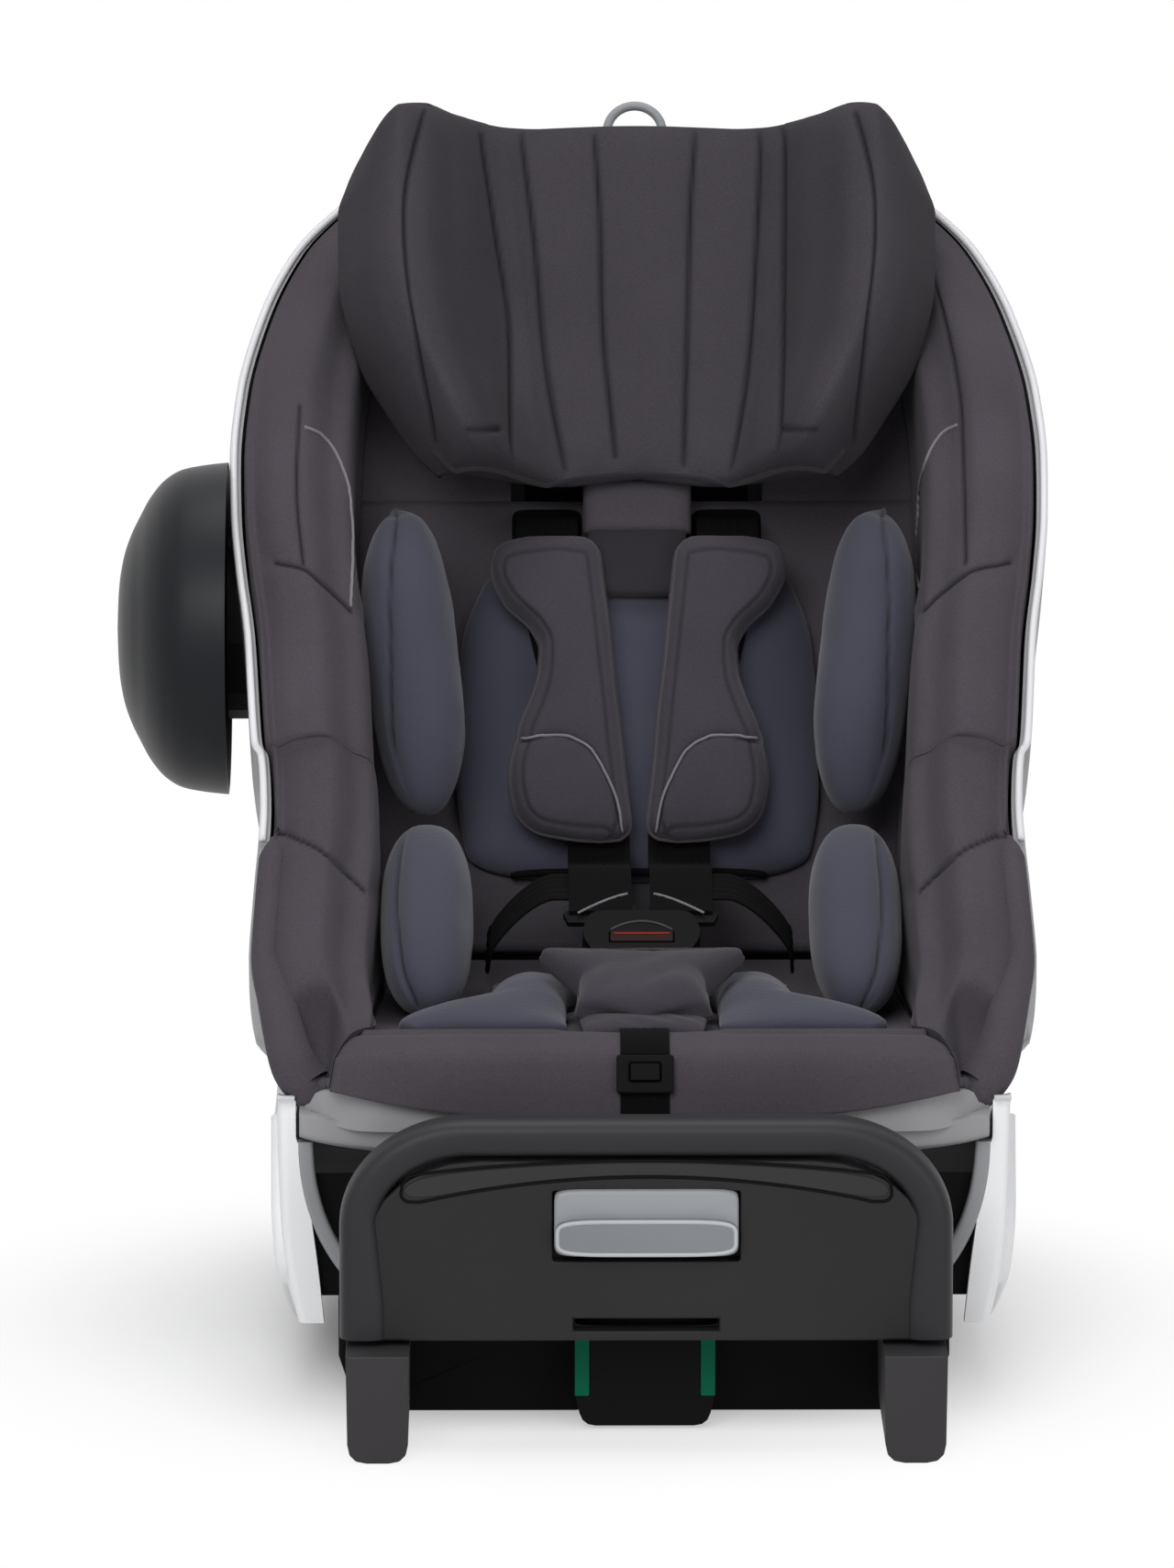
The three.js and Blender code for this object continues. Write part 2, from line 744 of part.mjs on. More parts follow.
// The hard shell behind the headrest's padding, with the slider that runs on the two rods.
function headrestShell() {
  const shellShares = [[-0.8, 0.2], [-0.62, 0.08], [-0.4, 0], [0, 0], [0.4, 0], [0.62, 0.08], [0.8, 0.2]];
  const face = (depth) => (u, v) => {
    const [across, out] = shellShares[Math.round(v * (shellShares.length - 1))];
    const place = mix(insetShare, 1 - 2.6 * insetShare, u);
    const x = across * headHalfWidth * along(headOutlineShares, place);
    return back(x, headBottom + place * headHeight, headFloor - gap - depth + out * headWingDepth);
  };
  const sheet = slab(6, shellShares.length - 1, face(0), face(headShellThickness));
  const sliderLow = headBottom + insetShare * headHeight;
  const sliderHigh = headBottom + sliderTopShare * headHeight;
  const front = headFloor - gap - headShellThickness / 2;
  const slider = backBlock(
    -sliderHalfWidth, sliderHalfWidth, sliderLow, sliderHigh, -rodDepth - rodRadius / 2, front,
  );
  const bores = [-1, 1].map((side) => rodAlongBack(
    rodRadius + runningGap, side * rodSpacing / 2, sliderLow - overrun, sliderHigh + overrun,
  ));
  return cut(join(sheet, slider), ...bores);
}

function rodAlongBack(radius, x, low, high) {
  const ring = (v) => circle(radius, x, -rodDepth, 8).map(([a, w]) => back(a, v, w));
  return loft([ring(low), ring(high)]);
}

function headrestRails() {
  const low = 0.41 * backLength;
  const high = 0.985 * backLength;
  const rods = [-1, 1].map((side) => rodAlongBack(rodRadius, side * rodSpacing / 2, low, high));
  const keels = backShares.map(([, , , keelAt, keelOut]) => [keelAt * backLength, keelOut * shellDepth]);
  const bars = [[low, low], [high - railFoot, high]].map(([at, tightest]) => {
    const behind = along(keels, tightest + (at === low ? railFoot : 0)) + shellWall + gap * 2;
    const front = -rodDepth - 0.6 * rodRadius;
    return backBlock(-sliderHalfWidth, sliderHalfWidth, at, at + railFoot, behind, front);
  });
  return join(...rods, ...bars);
}

function headrestApron() {
  const outline = [
    [-apronHalfWidth, slotBottomV], [apronHalfWidth, slotBottomV],
    [apronHalfWidth, headBottom + insetShare * headHeight - gap],
    [-apronHalfWidth, headBottom + insetShare * headHeight - gap],
  ];
  return backPlate(outline, headFloor - headShellThickness - gap, headFloor - gap);
}

function headrestHandle() {
  const base = headBottom + sliderTopShare * headHeight + gap;
  const steps = 8;
  const arch = (radius) => Array.from({ length: steps + 1 }, (_, k) => {
    const angle = k / steps * Math.PI;
    return [radius * Math.cos(angle), base + loopLegs + radius * Math.sin(angle)];
  });
  const inner = loopRadius - loopThickness;
  const outline = [[loopRadius, base], ...arch(loopRadius), [-loopRadius, base],
    [-inner, base], ...arch(inner).reverse(), [inner, base]];
  const low = (headFloor - headShellThickness) / 2 - loopThickness;
  return backPlate(outline, low, low + loopThickness);
}

// A flat strip through the points of its middle line, each with the direction of its width.
function strip(path, width, thickness) {
  const rings = path.map(({ at, across }, k) => {
    const before = path[Math.max(k - 1, 0)].at;
    const after = path[Math.min(k + 1, path.length - 1)].at;
    const run = after.map((value, n) => value - before[n]);
    const face = [0, 1, 2].map((n) => (
      across[(n + 1) % 3] * run[(n + 2) % 3] - across[(n + 2) % 3] * run[(n + 1) % 3]
    ));
    const length = Math.hypot(...face);
    const corner = (a, b) => [0, 1, 2].map((n) => (
      at[n] + across[n] * a * width / 2 + face[n] / length * b * thickness / 2
    ));
    return [corner(-1, -1), corner(1, -1), corner(1, 1), corner(-1, 1)];
  });
  return loft(rings);
}

// The buckle's own frame: along points up its face towards the tongues, out stands off its face.
const buckleAlong = [0, Math.cos(buckleTilt), Math.sin(buckleTilt)];
const buckleOut = [0, -Math.sin(buckleTilt), Math.cos(buckleTilt)];

function onBuckle(x, a, h) {
  const [y, z] = [1, 2].map((n) => a * buckleAlong[n] + h * buckleOut[n]);
  return [x, buckleY + y, buckleZ + z];
}

function bucklePlate(outline, low, high) {
  const geometry = extrude(outline, high - low);
  geometry.applyMatrix4(new THREE.Matrix4().set(
    1, 0, 0, 0,
    0, buckleAlong[1], buckleOut[1], buckleY + low * buckleOut[1],
    0, buckleAlong[2], buckleOut[2], buckleZ + low * buckleOut[2],
    0, 0, 0, 1,
  ));
  return geometry;
}

const tongueLow = -buckleThickness / 2 - tongueThickness / 2;

function buckleHousing() {
  const w = buckleHalfWidth;
  const outline = rounded([
    [-0.72 * w, 0], [0.72 * w, 0], [w, buckleLength / 2], [0.84 * w, buckleLength], [-0.84 * w, buckleLength],
    [-w, buckleLength / 2],
  ], buckleCorner);
  const side = w - buckleThickness / 4;
  const bottom = buckleLength - tongueBlade - runningGap;
  const mouth = bucklePlate([
    [-side, bottom], [side, bottom], [side, buckleLength + overrun], [-side, buckleLength + overrun],
  ], tongueLow - runningGap, tongueLow + tongueThickness + runningGap);
  const recess = bucklePlate(
    buttonOutline(runningGap), -buttonTravel - hookThickness, overrun,
  );
  return cut(bucklePlate(outline, -buckleThickness, 0), mouth, recess);
}

function buttonOutline(clear) {
  const middle = buckleLength * 0.42;
  const x = buttonHalfWidth + clear;
  const half = buttonLength / 2 + clear;
  return [[-x, middle - half], [x, middle - half], [x, middle + half], [-x, middle + half]];
}

function buckleTongue(side) {
  const blade = buckleLength - tongueBlade;
  const inner = gap * 4;
  const head = buckleLength + runningGap;
  const outline = [
    [inner, blade], [0.55 * buckleHalfWidth, blade], [0.6 * buckleHalfWidth, head],
    [1.2 * buckleHalfWidth, head], [1.28 * buckleHalfWidth, head + tongueHead / 2],
    [buckleHalfWidth, head + tongueHead], [2 * inner, head + tongueHead], [inner, head],
  ];
  const half = side < 0 ? mirrored(outline) : outline;
  return bucklePlate(half, tongueLow, tongueLow + tongueThickness);
}

// One strap: down from the shoulder over the back, forward to its tongue, and out again to the hip.
function harnessBelt(side) {
  const flatAcross = [side, 0, 0];
  const topX = beltTopX;
  const lowX = beltLowX;
  const aboveBuckle = buckleLength + tongueHead + webWidth * 0.9;
  const overTongue = tongueLow + tongueThickness + webThickness / 2 + gap;
  const shoulder = [
    { at: back(side * topX, slotBottomV + slotHeight * 0.8, -coverThickness), across: flatAcross },
    { at: back(side * topX, slotBottomV + slotHeight * 0.6, webDepth / 2), across: flatAcross },
    { at: back(side * topX, slotBottomV, webDepth), across: flatAcross },
    { at: back(side * topX, padTop, webDepth), across: flatAcross },
    { at: back(side * (lowX + topX) / 2, padTop * 0.66, webDepth), across: flatAcross },
    { at: back(side * lowX, padBottom * 1.1, webDepth), across: flatAcross },
    { at: back(side * lowX, padBottom * 0.87, webDepth * 1.28), across: flatAcross },
    { at: onBuckle(side * lowX, aboveBuckle, overTongue + webThickness), across: flatAcross },
    { at: onBuckle(side * lowX, buckleLength + tongueHead / 2, overTongue), across: flatAcross },
  ];
  const hipX = insertHalfWidth - webWidth / 2;
  const hipFrom = buckleLength + tongueHead + webWidth * 0.42;
  const hip = [
    onBuckle(side * lowX, hipFrom, overTongue + webThickness / 2),
    onBuckle(side * lowX * 2.1, hipFrom, overTongue + webThickness / 2),
    [side * (hipX - webThickness), buckleY + hipFrom, bightZ + webWidth],
    [side * hipX, bightY - hipFrom / 2, bightZ + webWidth * 0.65],
  ].map((at) => ({ at, across: buckleAlong }));
  return join(strip(shoulder, webWidth, webThickness), strip(hip, webWidth * 0.7, webThickness));
}

function shoulderPad(side) {
  const outerShares = [
    [0, 0.36], [0.03, 0.56], [0.08, 0.68], [0.19, 0.75], [0.3, 0.72], [0.42, 0.61], [0.56, 0.555],
    [0.68, 0.72], [0.74, 0.84], [0.8, 0.94], [0.87, 1.0], [0.94, 0.97], [1, 0.88],
  ];
  const edge = (u) => {
    const inner = mix(padInnerBottom, padInnerTop, u);
    return [side * inner, side * padReach * along(outerShares, u), mix(padBottom, padTop, u)];
  };
  return pad(12, 5, edge, padDepth, padThickness, 0.35);
}

function crotchStrap() {
  const across = [1, 0, 0];
  const under = -buckleThickness - webThickness;
  return strip([
    { at: onBuckle(0, buckleLength * 0.7, under), across },
    { at: onBuckle(0, 0, under), across },
    { at: [0, stations[4].floor[0], stations[4].floor[1] + webThickness / 2 + gap], across },
  ], webWidth, webThickness);
}

function crotchPad() {
  const [, topY, topZ] = onBuckle(0, -gap * 5, -crotchPadThickness);
  const place = (u, v, h) => {
    const half = mix(crotchPadTopHalfWidth, crotchPadBottomHalfWidth, Math.min(1, 2.2 * u));
    const run = u * crotchPadLength;
    return [
      mix(-half, half, v),
      topY - run * Math.cos(crotchPadTilt) - h * Math.sin(crotchPadTilt),
      topZ - run * Math.sin(crotchPadTilt) + h * Math.cos(crotchPadTilt),
    ];
  };
  const crown = (u, v) => {
    const round = Math.sqrt((1 - (2 * u - 1) ** 4) * (1 - (2 * v - 1) ** 4));
    return crotchPadThickness * (0.3 + 0.7 * round);
  };
  return slab(6, 8, (u, v) => place(u, v, crown(u, v)), (u, v) => place(u, v, 0));
}

// Front roll, drawn on the cover's front face: the harness adjuster and its strap.
const [lip, crest] = [stations[0].floor, stations[1].floor];
const frontLength = Math.hypot(lip[0] - crest[0], lip[1] - crest[1]);

function frontFace(x, down, out) {
  const run = [(lip[0] - crest[0]) / frontLength, (lip[1] - crest[1]) / frontLength];
  return [x, crest[0] + run[0] * down + run[1] * out, crest[1] + run[1] * down - run[0] * out];
}

function frontPlate(halfWidth, from, to, low, high) {
  const corners = [[-halfWidth, from], [halfWidth, from], [halfWidth, to], [-halfWidth, to]];
  return loft([low, high].map((out) => corners.map(([x, down]) => frontFace(x, down, out))));
}

function adjusterHousing() {
  const body = frontPlate(adjusterHalfWidth, 0, adjusterLength, gap, adjusterThickness);
  const window = frontPlate(
    adjusterHalfWidth * 0.55, adjusterLength * 0.2, adjusterLength * 0.7,
    adjusterThickness * 0.4, adjusterThickness + overrun,
  );
  return cut(body, window);
}

function adjusterButton() {
  const low = adjusterThickness * 0.4 + runningGap;
  return frontPlate(
    adjusterHalfWidth * 0.55 - runningGap,
    adjusterLength * 0.2 + runningGap, adjusterLength * 0.7 - runningGap,
    low + buttonTravel / 2, adjusterThickness + buttonTravel / 2,
  );
}

function adjusterStrap() {
  return frontPlate(adjusterHalfWidth * 0.86, adjusterLength + gap, frontLength, gap, gap + webThickness);
}

// Newborn insert
function insertBack() {
  const widthShares = [[0, 0.8], [0.08, 0.95], [0.3, 1.0], [0.7, 0.98], [0.9, 0.86], [1, 0.7]];
  const edge = (u) => {
    const half = insertHalfWidth * along(widthShares, u);
    return [-half, half, mix(insertBottom, insertTop, u)];
  };
  return pad(8, 8, edge, gap, insertThickness, 0.25);
}

function insertSeat() {
  const widthShares = [[0, 0.58], [0.5, 0.6], [0.74, 0.62], [0.86, 0.88], [0.95, 0.94], [1, 0.88]];
  const rear = stations[6].floor;
  const front = stations[3].floor;
  const floors = stations.slice(2, 8).map(({ floor }) => floor).sort((a, b) => a[0] - b[0]);
  const place = (u, v, h) => {
    const y = mix(rear[0], front[0], u);
    const z = along(floors, y);
    const half = seatInsertHalfWidth * along(widthShares, u);
    return [mix(-half, half, v), y, z + h];
  };
  const crown = (u, v) => {
    const round = Math.sqrt((1 - (2 * u - 1) ** 4) * (1 - (2 * v - 1) ** 4));
    return seatInsertThickness * (0.3 + 0.7 * round) + gap;
  };
  const sheet = slab(8, 12, (u, v) => place(u, v, crown(u, v)), (u, v) => place(u, v, gap));
  const notchHalf = webWidth * 1.2;
  const notchEnd = mix(front[0], rear[0], 0.6);
  const notch = block(-notchHalf, notchHalf, front[0] - overrun, notchEnd, 0, bightZ + wingRise);
  return cut(sheet, notch);
}

// Half the tub's inner width, half way up its side wall, at a place up the back.
function wallAt(v) {
  const middles = stations.slice(panShares.length).map((at, k) => {
    const [floorAt, rimAt] = backShares[k];
    return [(floorAt + rimAt) / 2 * backLength, at.halfWidth - at.wing];
  });
  return along(middles, v) - gap;
}

// A bolster that stands on the tub's side wall: a rounded pillow, pointed towards its lower end.
function bolster(side, outerAt, [v, w], [halfThickness, halfHeight, halfDepth], lean) {
  const rows = 9;
  const columns = 14;
  const power = (value, exponent) => Math.sign(value) * Math.abs(value) ** exponent;
  const rings = Array.from({ length: rows }, (_, i) => {
    const rise = -Math.cos((i + 0.4) / (rows - 0.2) * Math.PI);
    const full = (1 - Math.abs(rise) ** 2.6) ** 0.45;
    const drawn = full * (1 + 0.22 * rise);
    const x = outerAt(v + rise * halfHeight) - halfThickness;
    return Array.from({ length: columns }, (_unused, j) => {
      const turn = j / columns * 2 * Math.PI;
      return back(
        side * (x + halfThickness * full * power(Math.cos(turn), 0.8)),
        v + rise * halfHeight,
        w - lean * rise + halfDepth * drawn * power(Math.sin(turn), 0.8),
      );
    });
  });
  return loft(rings);
}

// The side wall's inside at the child's hips
const hipWall = stations[6].halfWidth - stations[6].wing + 0.72 * gap;

// Base
function reclineArc(radius, fromDegrees, toDegrees, steps) {
  const turns = Array.from({ length: steps + 1 }, (_, k) => mix(fromDegrees, toDegrees, k / steps));
  return turns.map((degrees) => rockerPoint(degrees, radius));
}

const railRadius = rockerRadius + runningGap;
const cradleRadius = railRadius + railHeight;
const cradleFrontDegrees = -Math.asin((baseFront + pivotY - cradleSetback) / cradleRadius) * 180 / Math.PI;
const cradleRearDegrees = 36;

function baseCradle() {
  const low = cradleFrontDegrees;
  const high = cradleRearDegrees;
  const under = trayHeight + gap;
  const trough = plateX([
    ...reclineArc(cradleRadius, low, high, 14), ...reclineArc(cradleRadius + cradleWall, high, low, 14),
  ], -cradleInnerHalfWidth - gap, cradleInnerHalfWidth + gap);
  const rails = [-1, 1].map((side) => plateX([
    ...reclineArc(railRadius, low, high, 24), ...reclineArc(cradleRadius + cradleWall / 2, high, low, 24),
  ], side * railCentreX - railWidth / 2, side * railCentreX + railWidth / 2));
  const sides = [-1, 1].map((side) => {
    const [a, b] = inOrder(side * cradleInnerHalfWidth, side * cradleHalfWidth);
    const arc = reclineArc(cradleRadius, low, high, 14);
    return plateX([
      ...arc, [baseBack - legHingeInset, under], [arc[0][0], under],
    ], a, b);
  });
  const feet = [arcFoot(low, under), arcFoot(high, under)];
  const hollows = [-1, 1].map((side) => {
    const [a, b] = inOrder(side * (cradleInnerHalfWidth + trayWall), side * (cradleHalfWidth - trayWall));
    const arc = reclineArc(cradleRadius + trayWall, low + 2, high - 4, 12);
    return plateX([...arc, [arc[12][0], under - overrun], [arc[0][0], under - overrun]], a, b);
  });
  return cut(join(trough, ...rails, ...sides, ...feet), ...hollows);
}

// The cross wall that carries one end of the trough down to the tray.
function arcFoot(degrees, under) {
  const inward = degrees < 0 ? 1 : -1;
  const [y, z] = rockerPoint(degrees, cradleRadius + cradleWall / 2);
  const [low, high] = inOrder(y, y + inward * cradleWall);
  return block(-cradleInnerHalfWidth - gap, cradleInnerHalfWidth + gap, low, high, under, z);
}

function baseTray() {
  const channel = legWidth / 2 + channelClearance;
  const roof = legSole + legHeight + channelClearance * 2;
  const outline = [
    [-baseSoleHalfWidth, 0], [-channel, 0], [-channel, roof], [channel, roof], [channel, 0],
    [baseSoleHalfWidth, 0], [baseHalfWidth, baseChamfer], [baseHalfWidth, trayHeight],
    [-baseHalfWidth, trayHeight], [-baseHalfWidth, baseChamfer],
  ];
  const tunnels = [-1, 1].map((side) => {
    const x = side * anchorSpacing / 2;
    const halfX = armWidth / 2 + runningGap;
    const halfZ = armHeight / 2 + runningGap;
    return [[x - halfX, armCentreZ - halfZ], [x + halfX, armCentreZ - halfZ],
      [x + halfX, armCentreZ + halfZ], [x - halfX, armCentreZ + halfZ]];
  });
  const body = plateY(outline, -baseFront, baseBack, tunnels);
  const pin = rodX(legPinRadius, -channel - overrun, channel + overrun, legHingeY, legHingeZ);
  const cellLength = (baseFront + baseBack - trayWall) / trayCells;
  const cells = [-1, 1].flatMap((side) => Array.from({ length: trayCells }, (_, k) => {
    const inner = channel + trayWall + overrun;
    const outer = anchorSpacing / 2 - armWidth / 2 - trayWall;
    const [a, b] = inOrder(side * inner, side * outer);
    const from = -baseFront + trayWall + k * cellLength;
    return block(a, b, from, from + cellLength - trayWall, -overrun, trayHeight - trayWall);
  }));
  return cut(join(body, pin), ...cells);
}

const legHingeY = baseBack - legHingeInset;
const legHingeZ = legSole + legHeight / 2;

// Silver side plate: its top follows the rocking shell, and its outside leans in towards the sole.
function sidePlate(side) {
  const arc = reclineArc(sidePlateRadius, -17, 22, 12);
  const [startY, topZ] = arc[0];
  const [endY] = arc[arc.length - 1];
  const lowerShares = [[-0.106, 0.436], [0.212, 0], [0.929, 0], [1.176, 0.509]];
  const lower = lowerShares.map(([y, z]) => [mix(startY, endY, y), mix(sidePlateSole, topZ, z)]);
  const shape = [...arc.slice().reverse(), ...rounded(lower, plateCorner, 4)];
  const centre = [0, 1].map((n) => shape.reduce((sum, p) => sum + p[n], 0) / shape.length);
  const outsideShares = [
    [0, 0.25], [0.09, 0.33], [0.16, 0.42], [0.233, 0.55], [0.378, 0.75], [0.6, 0.9],
    [0.8, 0.975], [1.1, 0.975],
  ];
  const ring = (out, drawnIn) => shape.map((p) => {
    const [y, z] = [0, 1].map((n) => mix(p[n], centre[n], drawnIn));
    const outside = along(outsideShares, (z - sidePlateSole) / (topZ - sidePlateSole));
    return [side * (cradleHalfWidth + gap + out * outside * sidePlateThickness), y, z];
  });
  return loft([ring(0, 0), ring(0.5, 0), ring(0.86, 0.03), ring(1, 0.09)]);
}

// Silver edge along the cradle's front, seen between the panel and the side plate.
function cradleTrim(side) {
  const arc = rockerPoint(cradleFrontDegrees, cradleRadius);
  const middle = arc[0] - gap - trimDepth / 2;
  const top = [side * (cradleHalfWidth - trimThickness / 2), middle, arc[1]];
  const low = [side * (baseSoleHalfWidth + trimThickness), middle, trayHeight + trimDepth];
  const steps = 6;
  const rings = Array.from({ length: steps + 1 }, (_, k) => {
    const t = k / steps;
    const x = mix(top[0], low[0], t) + side * trimBow * 4 * t * (1 - t);
    const z = mix(top[2], low[2], t);
    const half = trimThickness / 2;
    const corners = [[-half, -1], [half, -1], [half, 1], [-half, 1]];
    return corners.map(([a, b]) => [x + a, middle + b * trimDepth / 2, z]);
  });
  return loft(rings);
}

// The rebound panel's outline from its foot on the right, round the top, to its foot on the left.
function panelOutline(inset) {
  const x = panelHalfWidth - inset;
  const top = panelTop - inset;
  const steps = 6;
  const right = Array.from({ length: steps + 1 }, (_, k) => {
    const angle = k / steps * Math.PI / 2;
    const run = panelShoulderRun;
    const drop = panelShoulderDrop;
    return [x - run + run * Math.cos(angle), top - drop + drop * Math.sin(angle)];
  });
  return [[x, panelSole], ...right, ...mirrored(right), [-x, panelSole]];
}

function reboundFrame() {
  const behind = -panelFront + panelThickness;
  const outer = panelOutline(0);
  const inner = panelOutline(rimBarWidth).reverse();
  const arch = plateY([...outer, ...inner], -panelFront - rimBarProud, behind);
  const armTop = trayHeight + frameArmHeight;
  const arms = [-1, 1].map((side) => {
    const outside = panelHalfWidth - rimBarWidth + gap;
    const [a, b] = inOrder(side * outside, side * (outside - railWidth));
    return block(a, b, behind + gap, -baseFront - gap, trayHeight, armTop);
  });
  const cross = block(
    -panelHalfWidth + gap, panelHalfWidth - gap, behind + gap, behind + cradleWall, trayHeight, armTop,
  );
  const heels = [-1, 1].map((side) => {
    const [a, b] = inOrder(side * (panelHalfWidth - gap), side * (panelHalfWidth - rimBarWidth + gap));
    return block(a, b, behind - overrun, behind + overrun, trayHeight, armTop);
  });
  return join(arch, ...arms, cross, ...heels);
}

function reboundPanel() {
  const behind = -panelFront + panelThickness;
  const plate = plateY(panelOutline(rimBarWidth + gap), -panelFront, behind);
  const pocket = block(
    -handleHalfWidth - pocketClearance, handleHalfWidth + pocketClearance,
    -panelFront - overrun, -panelFront + pocketDepth,
    handleBottom - pocketClearance, handleTop + pocketClearance,
  );
  const stem = block(
    -handleHalfWidth / 2 - runningGap, handleHalfWidth / 2 + runningGap, -panelFront, behind + overrun,
    handleTop - handleStemThickness * 2 - runningGap, handleTop - handleStemThickness + runningGap,
  );
  const slot = block(
    -slotHalfWidth, slotHalfWidth, -panelFront - overrun, -panelFront + pocketDepth, slotBottom, slotTop,
  );
  return cut(plate, pocket, stem, slot);
}

function reclineHandle() {
  const front = -panelFront - handleLip / 2;
  const face = front + handleLip * 0.4;
  const nose = face - handleLip;
  const depth = -panelFront + handleThickness - runningGap;
  const plate = plateX([
    [depth, handleTop], [face, handleTop], [face, mix(handleBottom, handleTop, 0.45)],
    [nose, mix(handleBottom, handleTop, 0.3)], [nose, handleBottom + handleLip * 0.4],
    [front, handleBottom], [front + handleLip * 0.75, handleBottom + handleLip * 0.75],
    [depth, handleBottom + handleLip * 1.25],
  ], -handleHalfWidth, handleHalfWidth);
  const stem = block(
    -handleHalfWidth / 2, handleHalfWidth / 2, depth - gap, -panelFront + panelThickness - gap,
    handleTop - handleStemThickness * 2, handleTop - handleStemThickness,
  );
  return join(plate, stem);
}

// One lower anchor connector: the arm slides in the tray, its hook closes on the anchor bar.
const armFront = -coverFront + coverWall + channelClearance;
const hookY = armFront + mouthDepth + hookThickness;
const hookZ = armCentreZ + mouthHeight / 2 + hookThickness;
const hookEnd = hookY + mouthHeight - hookThickness / 2;
const releaseFrom = hookY + mouthHeight + overrun + runningGap;

function isofixArm(side) {
  const x = side * anchorSpacing / 2;
  const half = armWidth / 2;
  const low = armCentreZ - armHeight / 2;
  const high = armCentreZ + armHeight / 2;
  const bar = block(x - half, x + half, armFront, armFront + armLength, low, high);
  const mouth = block(
    x - half - overrun, x + half + overrun, armFront - overrun, armFront + mouthDepth,
    armCentreZ - mouthHeight / 2, armCentreZ + mouthHeight / 2,
  );
  const throat = block(
    x - hookThickness / 2 - runningGap, x + hookThickness / 2 + runningGap, armFront - overrun,
    hookY + mouthHeight, armCentreZ - mouthHeight / 2, high + overrun,
  );
  const seat = block(
    x - releaseWidth / 2 - runningGap, x + releaseWidth / 2 + runningGap,
    releaseFrom - runningGap, releaseFrom + releaseLength + runningGap,
    high - releaseDepth, high + overrun,
  );
  const hollowFrom = hookY + mouthHeight + releaseLength + mouthDepth;
  const hollow = block(
    x - half + armWall, x + half - armWall, hollowFrom, armFront + armLength + overrun,
    low + armWall, high - armWall,
  );
  return cut(bar, mouth, throat, seat, hollow);
}

function isofixHook(side) {
  const x = side * anchorSpacing / 2;
  const tip = armFront + hookThickness * 1.2;
  const low = armCentreZ - mouthHeight / 2 + runningGap;
  const outline = [
    [hookEnd, hookZ - hookHalfHeight], [hookEnd, hookZ + hookHalfHeight], [tip, hookZ + hookHalfHeight],
    [tip - hookThickness * 0.4, hookZ], [tip, low], [tip + hookThickness, low],
    [tip + hookThickness * 1.2, hookZ - hookHalfHeight],
  ];
  return plateX(outline, x - hookThickness / 2, x + hookThickness / 2);
}

function isofixRelease(side) {
  const x = side * anchorSpacing / 2;
  const top = armCentreZ + armHeight / 2;
  return block(
    x - releaseWidth / 2, x + releaseWidth / 2, releaseFrom, releaseFrom + releaseLength,
    top - releaseDepth + buttonTravel, top + buttonTravel / 2,
  );
}

function connectorCover(side) {
  const x = side * anchorSpacing / 2;
  const half = coverWidth / 2;
  const outline = rounded([
    [x - half + coverDraft, 0], [x + half - coverDraft, 0], [x + half, coverHeight], [x - half, coverHeight],
  ], [coverCorner, coverCorner, 0, 0]);
  const body = plateY(outline, -coverFront, -baseFront - gap);
  const inside = block(
    x - half + coverWall + coverDraft, x + half - coverWall - coverDraft,
    -coverFront + coverWall, -baseFront + overrun,
    armCentreZ - armHeight / 2 - runningGap * 2, coverHeight - coverWall,
  );
  return cut(body, inside);
}

// Load leg: an outer tube hinged at the rear of the base, an inner one that slides in it, and the foot.
const legFront = -baseFront + gap;
const innerFront = legFront - legWall;

function tube(halfWidth, low, high, wall, from, to) {
  const ring = (inset) => [
    [-halfWidth + inset, low + inset], [halfWidth - inset, low + inset],
    [halfWidth - inset, high - inset], [-halfWidth + inset, high - inset],
  ];
  return plateY(ring(0), from, to, [ring(wall)]);
}

function loadLegOuter() {
  const high = legSole + legHeight;
  const rear = legHingeY + legHeight / 2;
  const body = tube(legWidth / 2, legSole, high, legWall, legFront, rear);
  const bore = rodX(legPinRadius + gap, -legWidth, legWidth, legHingeY, legHingeZ);
  const half = legWidth / 6 + runningGap;
  const under = legSole - overrun;
  const window = block(-half, half, legButtonY - half, legButtonY + half, under, legSole + legWall + gap);
  return cut(body, bore, window);
}

const legButtonY = -baseFront + legButtonInset;

function loadLegInner() {
  const inset = legWall + runningGap;
  const rear = legHingeY - legPinRadius * 5;
  return tube(legWidth / 2 - inset, legSole + inset, legSole + legHeight - inset, legWall, innerFront, rear);
}

function loadLegButton() {
  const half = legWidth / 6;
  const [low, high] = [legSole - buttonTravel, legSole + legWall - buttonTravel / 2];
  return block(-half, half, legButtonY - half, legButtonY + half, low, high);
}

function loadLegFoot() {
  const rear = innerFront - gap;
  const outline = rounded([
    [-footHalfWidth + footDraft, footLift], [footHalfWidth - footDraft, footLift],
    [footHalfWidth, footLift + footHeight / 3], [footHalfWidth, footLift + footHeight],
    [-footHalfWidth, footLift + footHeight], [-footHalfWidth, footLift + footHeight / 3],
  ], [footCorner, footCorner, footCorner, 0, 0, footCorner]);
  const body = plateY(outline, rear - footDepth, rear);
  const recesses = [-1, 1].map((side) => {
    const [a, b] = inOrder(side * (footHalfWidth + overrun), side * (footHalfWidth - stripWidth));
    return block(
      a, b, rear - footDepth - overrun, rear - footDepth + stripThickness + gap,
      stripLow - gap, footLift + footHeight + overrun,
    );
  });
  return cut(body, ...recesses);
}

const stripLow = footLift + footHeight - stripHeight - footDraft;

